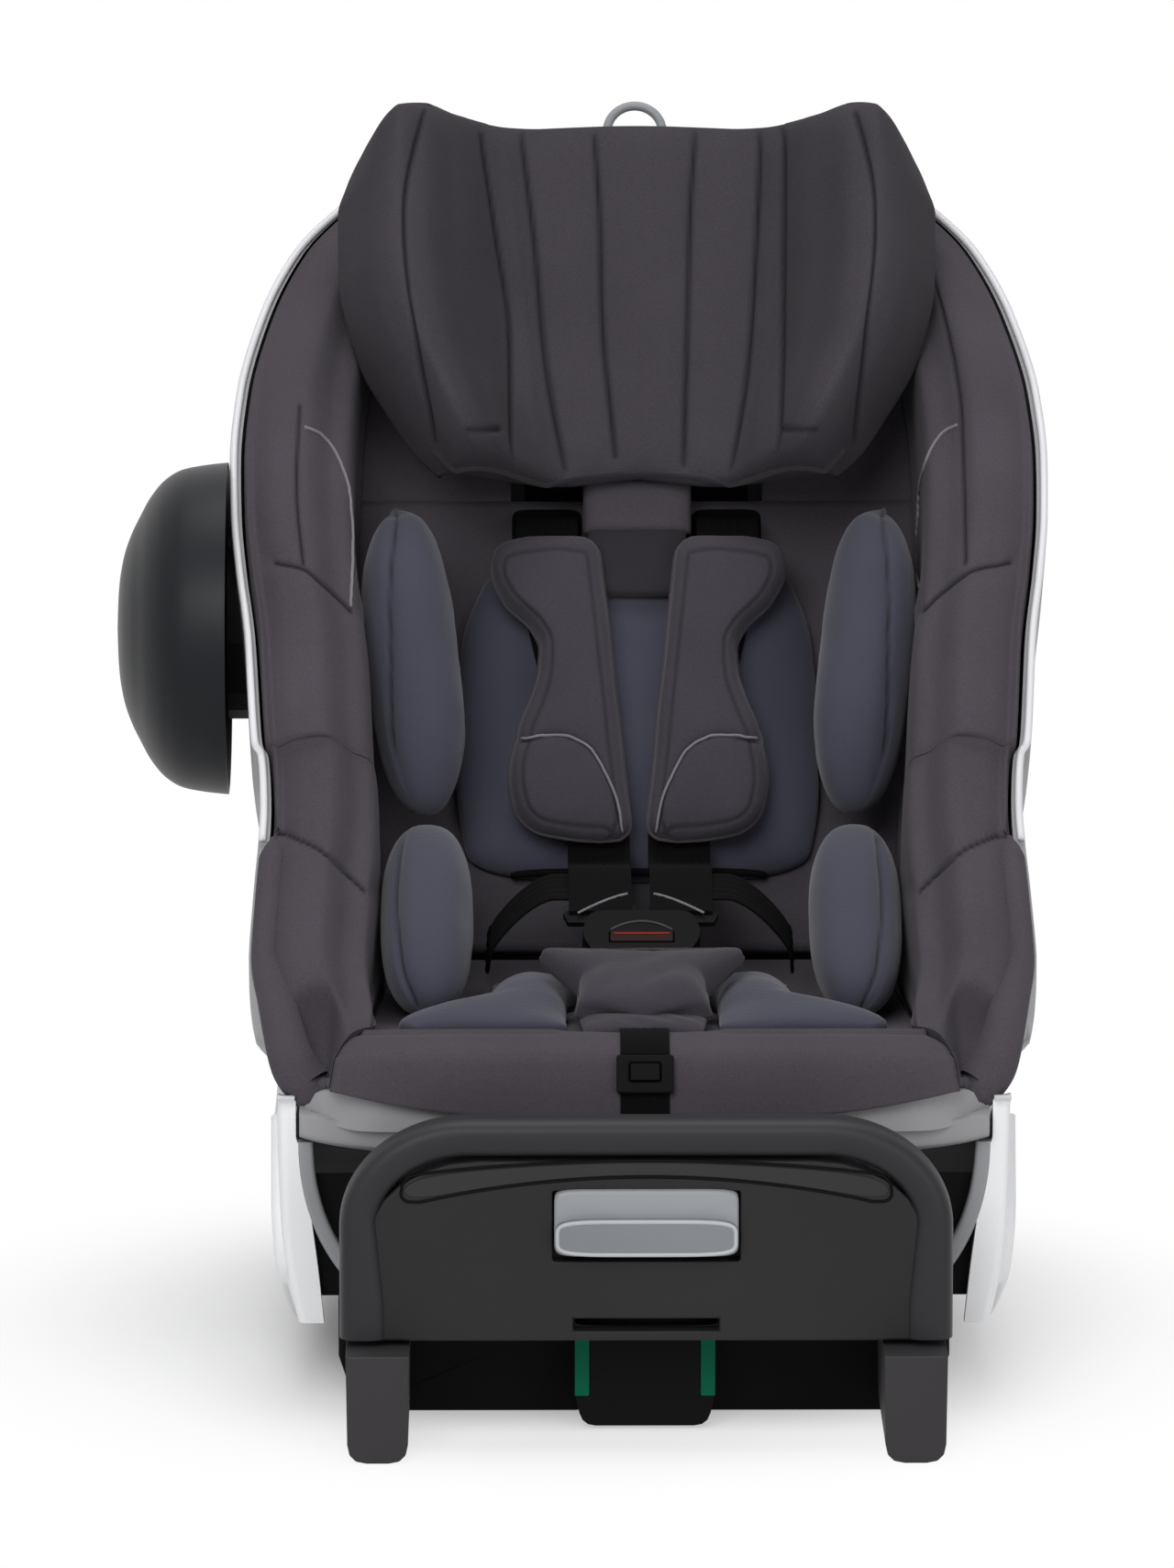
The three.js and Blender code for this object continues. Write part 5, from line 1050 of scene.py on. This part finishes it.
def bolster(name, side, outer_at, centre, half, lean, line, stands_for):
    """A pillow on the side wall: rings up its height, superelliptic across, fuller above the middle.

    centre is (up the back, out of it), and half its half-sizes across, up and out.
    """
    rows, columns = 61, 72
    rise = -np.cos((np.arange(rows) + 0.25) / (rows - 0.5) * math.pi)[:, None]
    full = rounded(rise, 2.6, 0.45)
    turn = (np.arange(columns) / columns * 2 * math.pi)[None, :]
    v = centre[0] + rise * half[1]
    x = outer_at(v) - half[0] + half[0] * full * signed_power(np.cos(turn), 0.8)
    drawn = full * (1 + 0.22 * rise) * signed_power(np.sin(turn), 0.8)
    grid = back(side * x, v + 0 * turn, centre[1] - lean * rise + half[2] * drawn)
    seen = ((np.sin(turn) > -0.3) & (np.cos(turn) < 0.7)) * 1.0
    lines = [line if side < 0 else mirrored(line)]
    grid, marks = creased(grid, lines, width=2.2, depth=1.8, wide=12, swell=1.5, where=seen)
    grid = wavy(grid, 0.9, 38, 11, np.clip(0.3 - np.cos(turn), 0, 1))
    make(name, "seat", *lofted(grid), INSERT, stands_for, capped(marks), fill=0.8)


SHOULDER_SEAM = [(432, 560), (424, 640), (424, 760), (434, 890)]
HIP_SEAM = [(436, 912), (430, 980), (436, 1050), (456, 1104)]
HIP_OUTSIDE = 140.8


def bolsters():
    """On each side wall a long bolster at the shoulder and a short one at the hip."""
    for side, word in SIDES:
        bolster(f"shoulder_bolster_{word}", side, wall_at, (158, 72), (26, 86, 38), 0, SHOULDER_SEAM,
                f"insert_wing_{word}")
        bolster(f"hip_bolster_{word}", side, lambda v: HIP_OUTSIDE, (-4, 112), (25, 64, 38), 36, HIP_SEAM,
                f"insert_hip_{word}")


# The harness
def ribbed(half, thickness, ribs):
    """A webbing's section: ribs on its face, flat behind."""
    x = np.linspace(-1, 1, 8 * ribs + 1)
    face = thickness / 2 + 0.28 * np.cos(x * ribs * math.pi) * (1 - x**8)
    top = np.stack([x * half, face * np.sqrt(1 - 0.7 * x**8)], -1)
    under = np.stack([x[::-1] * half, np.full(len(x), -thickness / 2)], -1)
    return np.concatenate([top, under])


def webbing_strip(path, across, half, ribs=7, count=120):
    """Webbing along a rounded path, flat along across."""
    line = resampled(path, count)
    run = unit(np.gradient(line, axis=0))
    sides = unit(across - run * (across * run).sum(1, keepdims=True))
    out = np.cross(run, sides)
    out *= np.where(((EYE - line) * out).sum(1, keepdims=True) < 0, -1, 1)
    return carried(line, sides, out, ribbed(half, WEB_THICKNESS, ribs))


BUCKLE_ALONG = np.array([0, math.cos(BUCKLE_TILT), math.sin(BUCKLE_TILT)])


def harness():
    """The two belts, each from its slot under the pad to its tongue and to the hip, and the crotch strap."""
    over_back, tongue_up, tongue_out = 32, 75.3, -6.4
    for side, word in SIDES:
        slot, end = side * BELT_SLOT_X, side * BELT_END_X
        shoulder = [
            back(slot, 267.6, -12), back(slot, 263.2, 16),
            back(slot, 250, over_back), back(slot, 240, over_back), back(side * 36, 158.4, over_back),
            back(end, PAD_FOOT, over_back), back(end, 52.2, 41),
            on_buckle(end, 91.6, -5.5), on_buckle(end, 52.5, -7.3),
        ]
        hip = [
            on_buckle(end, tongue_up, tongue_out), on_buckle(side * 46.2, tongue_up, tongue_out),
            [side * 81.2, 1.3, 219], [side * 83, 32.4, 207.1],
        ]
        parts = [webbing_strip(shoulder, SIDEWAYS, WEB_WIDTH / 2),
                 webbing_strip(hip, BUCKLE_ALONG, WEB_WIDTH * 0.35, ribs=5, count=60)]
        make(f"belt_{word}", "seat", *joined(*parts), WEBBING, f"harness_belt_{word}", edge=60)
    under = -BUCKLE_THICKNESS - WEB_THICKNESS
    floor = line_at("floor", 4.0)
    strap = [on_buckle(0, BUCKLE_LENGTH * 0.7, under), on_buckle(0, 0, under),
             [0, floor[0], floor[1] + WEB_THICKNESS / 2 + GAP]]
    whole = webbing_strip(strap, SIDEWAYS, WEB_WIDTH / 2, count=50)
    make("crotch_belt", "seat", *whole, WEBBING, "crotch_strap", edge=60)


PAD_OUTER = smooth(
    [0, 0.03, 0.11, 0.214, 0.37, 0.47, 0.552, 0.63, 0.695, 0.786, 0.89, 0.955, 1],
    [0.43, 0.645, 0.765, 0.795, 0.737, 0.66, 0.616, 0.605, 0.657, 0.826, 0.91, 0.89, 0.76],
)
LEAF_ARC = [(568, 806), (608, 800), (640, 812), (662, 846), (675, 882), (679, 908)]


def shoulder_pads():
    """The belts' pads: dog-bone outline, crowned face, cord round the edge, and a leaf arc near the foot."""
    for side, word in SIDES:
        def edge(u, side=side):
            """The pad's inner and outer side and its height at u."""
            inner = mix(PAD_FOOT_GAP, PAD_HEAD_GAP, u)
            return side * inner, side * PAD_HALF_WIDTH * PAD_OUTER(u), mix(PAD_FOOT, PAD_HEAD, u)

        front, behind = pad_grids(100, 60, edge, PAD_FLOOR, PAD_THICKNESS, 0.3, 6)
        line = LEAF_ARC if side < 0 else mirrored(LEAF_ARC)
        front, marks = creased(front, [line], width=2.4, depth=1.8, wide=9, swell=0.8)
        groove = hump(distance(pixels(front), [pixels(border(front)[::4])]), 13, 2.4)
        front = wavy(front - normals(front) * groove[..., None], 0.7, 40, 7)
        # The groove round the pad takes painted shade too
        marks = np.maximum(marks, 0.6 * groove)
        whole = between(front, behind)
        make(f"pad_{word}", "headrest", *whole, PADS, f"shoulder_pad_{word}", marks, fill=0.6)
        cord = mix(border(front), border(behind), 0.5)
        make(f"pad_piping_{word}", "headrest", *tube(cord, 1.3, loop=True), COVER)
        make(f"pad_leaf_{word}", "headrest", *tube(laid(front, line, 50, 0.2), 0.8), PIPING_AND_HIGHLIGHT)


def crotch_pad():
    """The buckle's pad: an eared top, a tongue that narrows downwards, slack folds near its foot."""
    top, tilt = on_buckle(0, -1.5, -13), math.radians(9)
    length, thickness, head_half, foot_half, ear_rise = 78, 22, 61, 37, 11

    def grid(half, v, run, height):
        """Points across the strap at v, at a run down it and a height above it."""
        return leaning(top[1:], tilt, mix(-half, half, v), -run, height)

    u, v = spread_grid(60, 60)
    ear = np.abs(2 * v - 1)
    waist = mix(head_half, foot_half, ramp(u, 0, 1 / 2.2)) * (1 - 0.08 * np.sin(u * math.pi))
    half = waist * rounded(2 * u - 1, 16)
    run = u * (length - 7 * ear**2.5) - 5 * (1 - u) ** 3 * ear**3
    lift = ear_rise * ear**3 * ramp(u, 1 / 2.4, 0)
    full = pillow(u, v, 4, 0.5)
    front = grid(half, v, run, lift + thickness * mix(0.2, 1, full))
    front = wavy(front, 2.6, 24, 9, np.clip(0.35 + u, 0, 1) * full)
    behind = grid(half, v, run, lift)
    make("crotch_cushion", "seat", *between(front, behind), PADS, "crotch_pad", fill=0.5)
    piping = tube(mix(border(behind), border(front), 0.6), 1.0, loop=True)
    make("crotch_piping", "seat", *piping, COVER_DEEP)
    u, v = spread_grid(30, 40)
    fold = pillow(u, v, 3, 0.5)
    half, run = mix(34, 31, u) * rounded(ramp(u, 0.5, 1), 14), 66 + 24 * u
    folded = wavy(grid(half, v, run, 1 + 6 * fold), 1.6, 14, 21, fold)
    make("crotch_sleeve", "seat", *between(folded, grid(half, v, run, 0)), PADS, fill=0.3)


def buckle_trim():
    """The arc on the buckle, the red line on its button, and a painted highlight along each tongue's curve.
    """
    x = np.linspace(-16.5, 16.5, 40)
    arc = on_buckle(x, 33 - 8 * (x / 16.5) ** 2, 0.3)
    make("buckle_arc", "seat", *tube(arc, 0.6), COVER)
    line = on_buckle(np.linspace(-15, 15, 30), 20.5, 0.9)
    make("buckle_line", "buckle_press", *tube(line, 0.55), RED_LINE)
    share = np.linspace(0, 1, 24)
    for side, word in SIDES:
        # A pale line along each tongue's curve: painted highlight
        path = on_buckle(side * (7 + 27 * share), 66 - 16 * share**1.4, -4.6 - 1.5 * share)
        make(f"tongue_highlight_{word}", f"tongue_{word}", *tube(path, 0.7), PIPING_AND_HIGHLIGHT)


ADJUSTER_HALF_WIDTH, ADJUSTER_DOWN = 12.9, 20.3


def adjuster_belt():
    """The adjuster's strap: down the front roll below the adjuster, and back over the crest above it."""
    lip, crest = line_at("floor", 0.0), line_at("floor", 1.0)
    drop = crest - lip
    down = np.linspace(ADJUSTER_DOWN, np.linalg.norm(drop), 30)
    path = leaning(crest, math.atan2(drop[1], drop[0]), 0, -down, GAP + WEB_THICKNESS / 2)
    strap = webbing_strip(path, SIDEWAYS, ADJUSTER_HALF_WIDTH, ribs=5, count=30)
    make("adjuster_belt", "seat", *strap, WEBBING, "adjuster_strap", edge=60)
    floor = line_at("floor", np.linspace(3.4, 0.98, 60))
    run = unit(np.gradient(floor, axis=0))
    path = np.column_stack([np.zeros(60), floor + 1.4 * np.column_stack([run[:, 1], -run[:, 0]])])
    strap = webbing_strip(path, SIDEWAYS, ADJUSTER_HALF_WIDTH, ribs=5, count=80)
    make("crest_belt", "seat", *strap, WEBBING, edge=60)


# The base
def panel_arch(inset):
    """The rebound panel's outline from its right foot over the shoulders to its left foot, as (x, z)."""
    turn = np.linspace(0, math.pi / 2, 24)
    across, up = 58, 42
    side, top = PANEL_HALF_WIDTH - inset, PANEL_TOP - inset
    right = np.column_stack([side - across + across * np.cos(turn), top - up + up * np.sin(turn)])
    half = np.concatenate([[[side, PANEL_SOLE + 1], [side, 95]], right])
    return np.concatenate([half, half[::-1] * [-1, 1]])


def rebound_bar():
    """The soft bar round the panel: a rounded box carried along the arch, with two arms back to the base."""
    count, arm_x, arm_z = 160, 134.7, 77
    arch_y, arm_front, arm_rear, foot_y, foot_half = -266.0, -256, -204.3, -247, 159
    middle = panel_arch(10)
    middle[:, 1] += 6.5 * ramp(middle[:, 1], 110, 160)
    step = travelled(middle)
    even = np.linspace(0, step[-1], count)
    path = facing(np.stack([np.interp(even, step, line) for line in middle.T], -1), arch_y)
    column = ramp(path[:, 2], 125, 80)
    path[:, 0] -= np.sign(path[:, 0]) * 2.5 * column
    run = unit(np.gradient(path, axis=0))
    across = np.cross(run, INWARD) * (1 + 0.25 * column)[:, None]
    parts = [carried(path, across, INWARD, superellipse(44, 10, 14, 3.0))]
    for side, _ in SIDES:
        arm = straight((side * arm_x, arm_front, arm_z), (side * arm_x, arm_rear, arm_z), 20)
        parts.append(carried(arm, SIDEWAYS, UPWARD, superellipse(32, 10, 15, 6)))
    foot = straight((-foot_half, foot_y, arm_z), (foot_half, foot_y, arm_z), 30)
    parts.append(carried(foot, INWARD, UPWARD, superellipse(32, 4.7, 15, 6)))
    make("rebound_bar", "base", *joined(*parts), RUBBER, "rebound_frame", edge=50)


def panel_details():
    """On the panel: the pale curved strip with a dark line round it, painted shade at its step, and the
    slot's floor in black, painted shade in the slot.
    """
    half_length, count, face = 126, 120, -275
    share = np.linspace(-1, 1, count)

    def upper(share):
        """Height of the upper edge at a share of the half width."""
        return 154.5 - 8 * share**2

    def lower(share):
        """Height of the lower edge at a share of the half width."""
        return 148.5 - 15 * share**2

    middle = (upper(share) + lower(share)) / 2
    half = (upper(share) - lower(share)) / 2 * rounded(share, 12, 0.5)
    edges = [np.column_stack([half_length * share, line]) for line in (middle + half, middle - half)]
    ring = np.concatenate([edges[0], edges[1][::-1]])
    rings = np.stack([facing(ring, y) for y in (face, face - 1.7)])
    near = np.arange(count - 1)
    far = 2 * count - 1 - near
    faces = walled(np.stack([near, near + 1, far - 1, far], -1), np.arange(2 * count), 2 * count)
    make("panel_strip", "base", rings.reshape(-1, 3), faces, INLAY, edge=40)
    # A black oval on the slot's floor: painted shade in the slot
    oval = superellipse(60, 37, 3.2, 6)
    slot = np.stack([facing(oval, y, 68.5) for y in (-262.8, -263.4)])
    make("panel_slot_shade", "base", *lofted(slot), BLACK)
    # A black line round the strip: painted shade at its step
    end = np.array([[-118, 134], [-124, 134.2], [-127.6, 137.5], [-127.2, 142.5], [-123, 147.6]])
    x = np.linspace(-116, 116, 60)
    over = np.column_stack([x, upper(x / half_length) + 1.5])
    x = np.linspace(114, -114, 60)
    under = np.column_stack([x, lower(x / half_length) - 1.3])
    line = facing(np.concatenate([end, over, end[::-1] * [-1, 1], under]), face - 1.2)
    make("panel_step_shade", "base", *tube(resampled(line, 360)[:-1], 0.8, loop=True), BLACK)


# The side plates' lower corners as (y, z), and their outside up their height
PLATE_CORNERS = ([-174, 77], [-84, 25], [119, 18], [189, 87])
PLATE_OUTSIDE = smooth([18, 38, 68, 118, 170], [185, 190, 195, 198, 198])


def side_flanges():
    """The side plates' front ends: a cheek along each side that turns into a flat band facing forwards."""
    front = (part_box("base_cradle")[0].y - MIDDLE[1]) * 1000
    foot, head, corner = 49, 172, 5
    z = np.linspace(foot, head, 70)
    outer = smooth([foot, 72, 100, head], [183, 188, 191.5, 193.5])(z)
    inner = smooth([foot, 78, 110, 138, 150, head], [169.5, 172.5, 176.5, 179, 184, 184])(z)
    inside = np.maximum(inner, CRADLE_HALF_WIDTH - 1.5)
    above = np.sqrt(np.maximum(PLATE_RADIUS**2 - (PIVOT_Z - z) ** 2, 0))
    rear = np.minimum(np.minimum(-142, PIVOT_Y - above), front + 4 + 2.4 * (z - foot))
    flare = ramp(rear, front + 4, front + 59)
    wide = mix(outer, np.maximum(PLATE_OUTSIDE(z) - 2, outer), flare)
    turn = np.linspace(0, math.pi / 2, 8)
    section = [(inner, front + 2), (inner, front - corner)]
    section += [(outer - corner + corner * math.sin(a), front - corner * math.cos(a)) for a in turn]
    section += [(wide, rear), (np.minimum(inside, wide - 1), rear)]
    section += [(np.minimum(inside, outer - 1), front + 2)]
    for side, word in SIDES:
        rings = np.stack([np.column_stack([side * x, np.broadcast_to(y, x.shape), z]) for x, y in section], 1)
        make(f"side_flange_{word}", "base", *lofted(rings), SILVER, edge=24)


def cradle_trims():
    """The grey edges that curve from the seat's sides down behind the panel, silver painted grey as painted
    shade: a bar along a bent line.
    """
    low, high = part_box("cradle_trim_left")
    depth = (low.y + high.y) / 2 * 1000 - MIDDLE[1] * 1000
    line = bend(np.array([179, 147]), np.array([179, 106]), np.array([157, 78]), 60)
    for side, word in SIDES:
        path = facing(line * [side, 1], depth)
        run = unit(np.gradient(path, axis=0))
        bar = carried(path, np.cross(run, INWARD), INWARD, superellipse(32, 4.2, 4.4, 4))
        make(f"cradle_edge_{word}", "base", *bar, TRIM_SHADED, f"cradle_trim_{word}", edge=50)


def slab(half, middle, power, sections):
    """A rounded plate that faces the panel's front: rings at (y, inset)."""
    rings = []
    for y, inset in sections:
        rings.append(facing(superellipse(64, half[0] - inset, half[1] - inset, power), y, middle))
    return lofted(np.stack(rings))


def handle():
    """The pull handle: a flat plate, a lower lip like a shallow cup in painted shade with a painted highlight
    on its rim, and its stem.
    """
    lip_z = 116.2
    plate = slab((48, 17.8), 123, 10, ((-263.5, 0), (-277.4, 0), (-278.6, 0.8), (-279, 2.2)))
    lip = slab((47.6, 9.9), lip_z, 5, ((-276, 0.5), (-282, 0), (-284, 0.9), (-284.3, 2.6)))
    stem = slab((23, 3), 129, 6, ((-266, 0), (-252.3, 0)))
    make("handle_plate", "handle", *joined(plate, stem), HANDLE, "recline_handle", edge=42)
    make("handle_lip", "handle", *lip, HANDLE_SHADED, edge=42)
    rim = facing(superellipse(200, 46.4, 8.7, 5), -283.6, lip_z)
    make("handle_rim_highlight", "handle", *tube(rim, 1.2, 10, loop=True), HANDLE_HIGHLIGHT)


def side_plates():
    """The smooth plates over the cradle's sides: an arc on top, rounded corners, a foot that leans in."""
    turn = np.radians(np.linspace(22, -17, 40))
    arc = np.column_stack([PIVOT_Y + PLATE_RADIUS * np.sin(turn), PIVOT_Z - PLATE_RADIUS * np.cos(turn)])
    corners = np.array([arc[-1], *PLATE_CORNERS, arc[0]])
    reach = 34
    low = []
    for before, corner, after in zip(corners[:-2], corners[1:-1], corners[2:]):
        a, b = [mix(corner, end, min(0.45, reach / np.linalg.norm(end - corner))) for end in (before, after)]
        low.append(bend(a, corner, b, 14))
    outline = np.concatenate([arc, *low])
    inside = smooth([18, 62, 170], [179, 186.3, 186.3])
    sections = ((0.5, 0), (0.02, 0), (0, 0.15), (0, 0.6), (0.012, 0.9), (0.03, 1), (0.3, 1), (0.7, 1))
    for side, word in SIDES:
        rings = []
        for drawn, share in sections:
            y, z = mix(outline, outline.mean(0), drawn).T
            rings.append(np.column_stack([side * mix(inside(z), PLATE_OUTSIDE(z), share), y, z]))
        make(f"side_cover_{word}", "base", *lofted(np.stack(rings)), SILVER, f"side_plate_{word}", edge=50)


CUP_RADIUS, CUP_DEPTH, CUP_WALL = 91, 61, 3
CUP_X, CUP_Y, CUP_Z = -225, 90, 377


def side_cup():
    """The side cup: its profile turned about the seat's side axis, a wall's thickness deep."""
    radii = [1, 0.99, 0.96, 0.9, 0.79, 0.68, 0.57, 0.43, 0.26, 0]
    heights = [0, 0.15, 0.4, 0.56, 0.7, 0.79, 0.87, 0.94, 0.98, 1]
    knots = np.arange(len(radii))
    fine = np.linspace(0, len(radii) - 1, 60)
    r, h = smooth(knots, radii)(fine) * CUP_RADIUS, smooth(knots, heights)(fine) * CUP_DEPTH
    r_in, h_in = r * (1 - CUP_WALL / CUP_RADIUS), h - CUP_WALL * (h > CUP_WALL)
    profile = np.concatenate([np.column_stack([r_in, h_in])[::-1], np.column_stack([r, h])])
    turn = np.arange(96) / 96 * 2 * math.pi
    radius, height = profile[:, :1], profile[:, 1:]
    y, z = CUP_Y + radius * np.cos(turn), CUP_Z + radius * np.sin(turn)
    grid = np.stack([CUP_X - height + 0 * turn, y, z], -1)
    faces = grid_faces(*grid.shape[:2], round_columns=True)
    make("side_cup_shell", "cup", grid.reshape(-1, 3), faces, CUP, "side_cup", edge=40)


for build in (
    shell, shell_lip, rim_pipes, wing_bars, seat_cover, back_cover, headrest, headrest_bridge, ring_handle,
    insert_back, insert_seat, bolsters, harness, shoulder_pads, crotch_pad, buckle_trim, adjuster_belt,
    rebound_bar, panel_details, handle, side_plates, side_flanges, cradle_trims, side_cup,
):
    build()


# Floor, light and camera: half the floor's width and where it turns white, the world's glow as light and
# as seen, and each lamp's name, place, width and power, in metres and watts
FLOOR_HALF, WHITE_START, WHITE_END = 8, 0.05, 0.42
GLOW, SEEN_GLOW = 0.3, 1.0
LAMPS = (
    ("key", (-0.7, -3.2, 2.2), 2.0, 62),
    ("fill", (1.6, -3.0, 0.8), 1.8, 16),
    ("top", (0.0, 0.2, 3.2), 2.0, 34),
)


def seen_directly(tree):
    """One for rays that show what they meet: the camera's, glossy and transmitted ones."""
    path = tree.nodes.new("ShaderNodeLightPath").outputs
    seen = compute(tree, "ADD", path["Is Camera Ray"], path["Is Glossy Ray"], clamp=True)
    return compute(tree, "ADD", seen, path["Is Transmission Ray"], clamp=True)


def studio_floor():
    """A pale floor that keeps the shadow, and turns plain white away from the seat."""
    mesh = bpy.data.meshes.new("floor")
    corners = [(x * FLOOR_HALF, y * FLOOR_HALF, 0) for x, y in ((-1, -1), (1, -1), (1, 1), (-1, 1))]
    mesh.from_pydata(corners, [], [(0, 1, 2, 3)])
    floor = placed("floor", mesh)
    material, tree, shader = new_material("floor white")
    fill_in(tree, shader, {"Base Color": tone(250, 250, 250), "Roughness": 1.0, "Specular IOR Level": 0.0})
    reach = add(tree, "VectorMath", "Value", {0: add(tree, "TexCoord", "Object")}, operation="LENGTH")
    span = {"Value": reach, "From Min": WHITE_START, "From Max": WHITE_END}
    far = add(tree, "MapRange", "Result", span, interpolation_type="SMOOTHSTEP")
    share = compute(tree, "MULTIPLY", far, seen_directly(tree))
    surface = {0: share, 1: shader.outputs["BSDF"], 2: add(tree, "Emission", 0)}
    fill_in(tree, tree.nodes["Material Output"], {"Surface": add(tree, "MixShader", 0, surface)})
    mesh.materials.append(material)


def studio_lights():
    """Soft lights in front and above, and a world that is white where the camera sees it."""
    for label, place, size, energy in LAMPS:
        light = bpy.data.lights.new(label, "AREA")
        light.shape, light.size, light.energy = "DISK", size, energy
        lamp = placed(label, light)
        lamp.location = place
        lamp.rotation_euler = (Vector((0, 0, 0.3)) - Vector(place)).to_track_quat("-Z", "Y").to_euler()
    sky = bpy.data.worlds.new("white")
    bpy.context.scene.world = sky
    sky.use_nodes = True
    tree = sky.node_tree
    tree.nodes.clear()
    span = {"Value": seen_directly(tree), "To Min": GLOW, "To Max": SEEN_GLOW}
    glow = {"Color": (1, 1, 1, 1), "Strength": add(tree, "MapRange", "Result", span)}
    last = tree.nodes.new("ShaderNodeOutputWorld")
    fill_in(tree, last, {"Surface": add(tree, "Background", "Background", glow)})
    bpy.context.scene.view_settings.view_transform = "Standard"


def camera():
    """The photograph's camera: its focal length in pixels and its place, looking along FORWARD."""
    lens = bpy.data.cameras.new("camera")
    lens.sensor_fit = "VERTICAL"
    lens.sensor_height = SENSOR_HEIGHT
    lens.lens = FOCAL_PIXELS * SENSOR_HEIGHT / PHOTO_HEIGHT
    lens.clip_end = 100
    holder = placed("camera", lens)
    turned = Matrix([RIGHT, UP, -FORWARD]).transposed().to_4x4()
    holder.matrix_world = Matrix.Translation(Vector(world(EYE))) @ turned
    bpy.context.scene.camera = holder


studio_floor()
studio_lights()
camera()
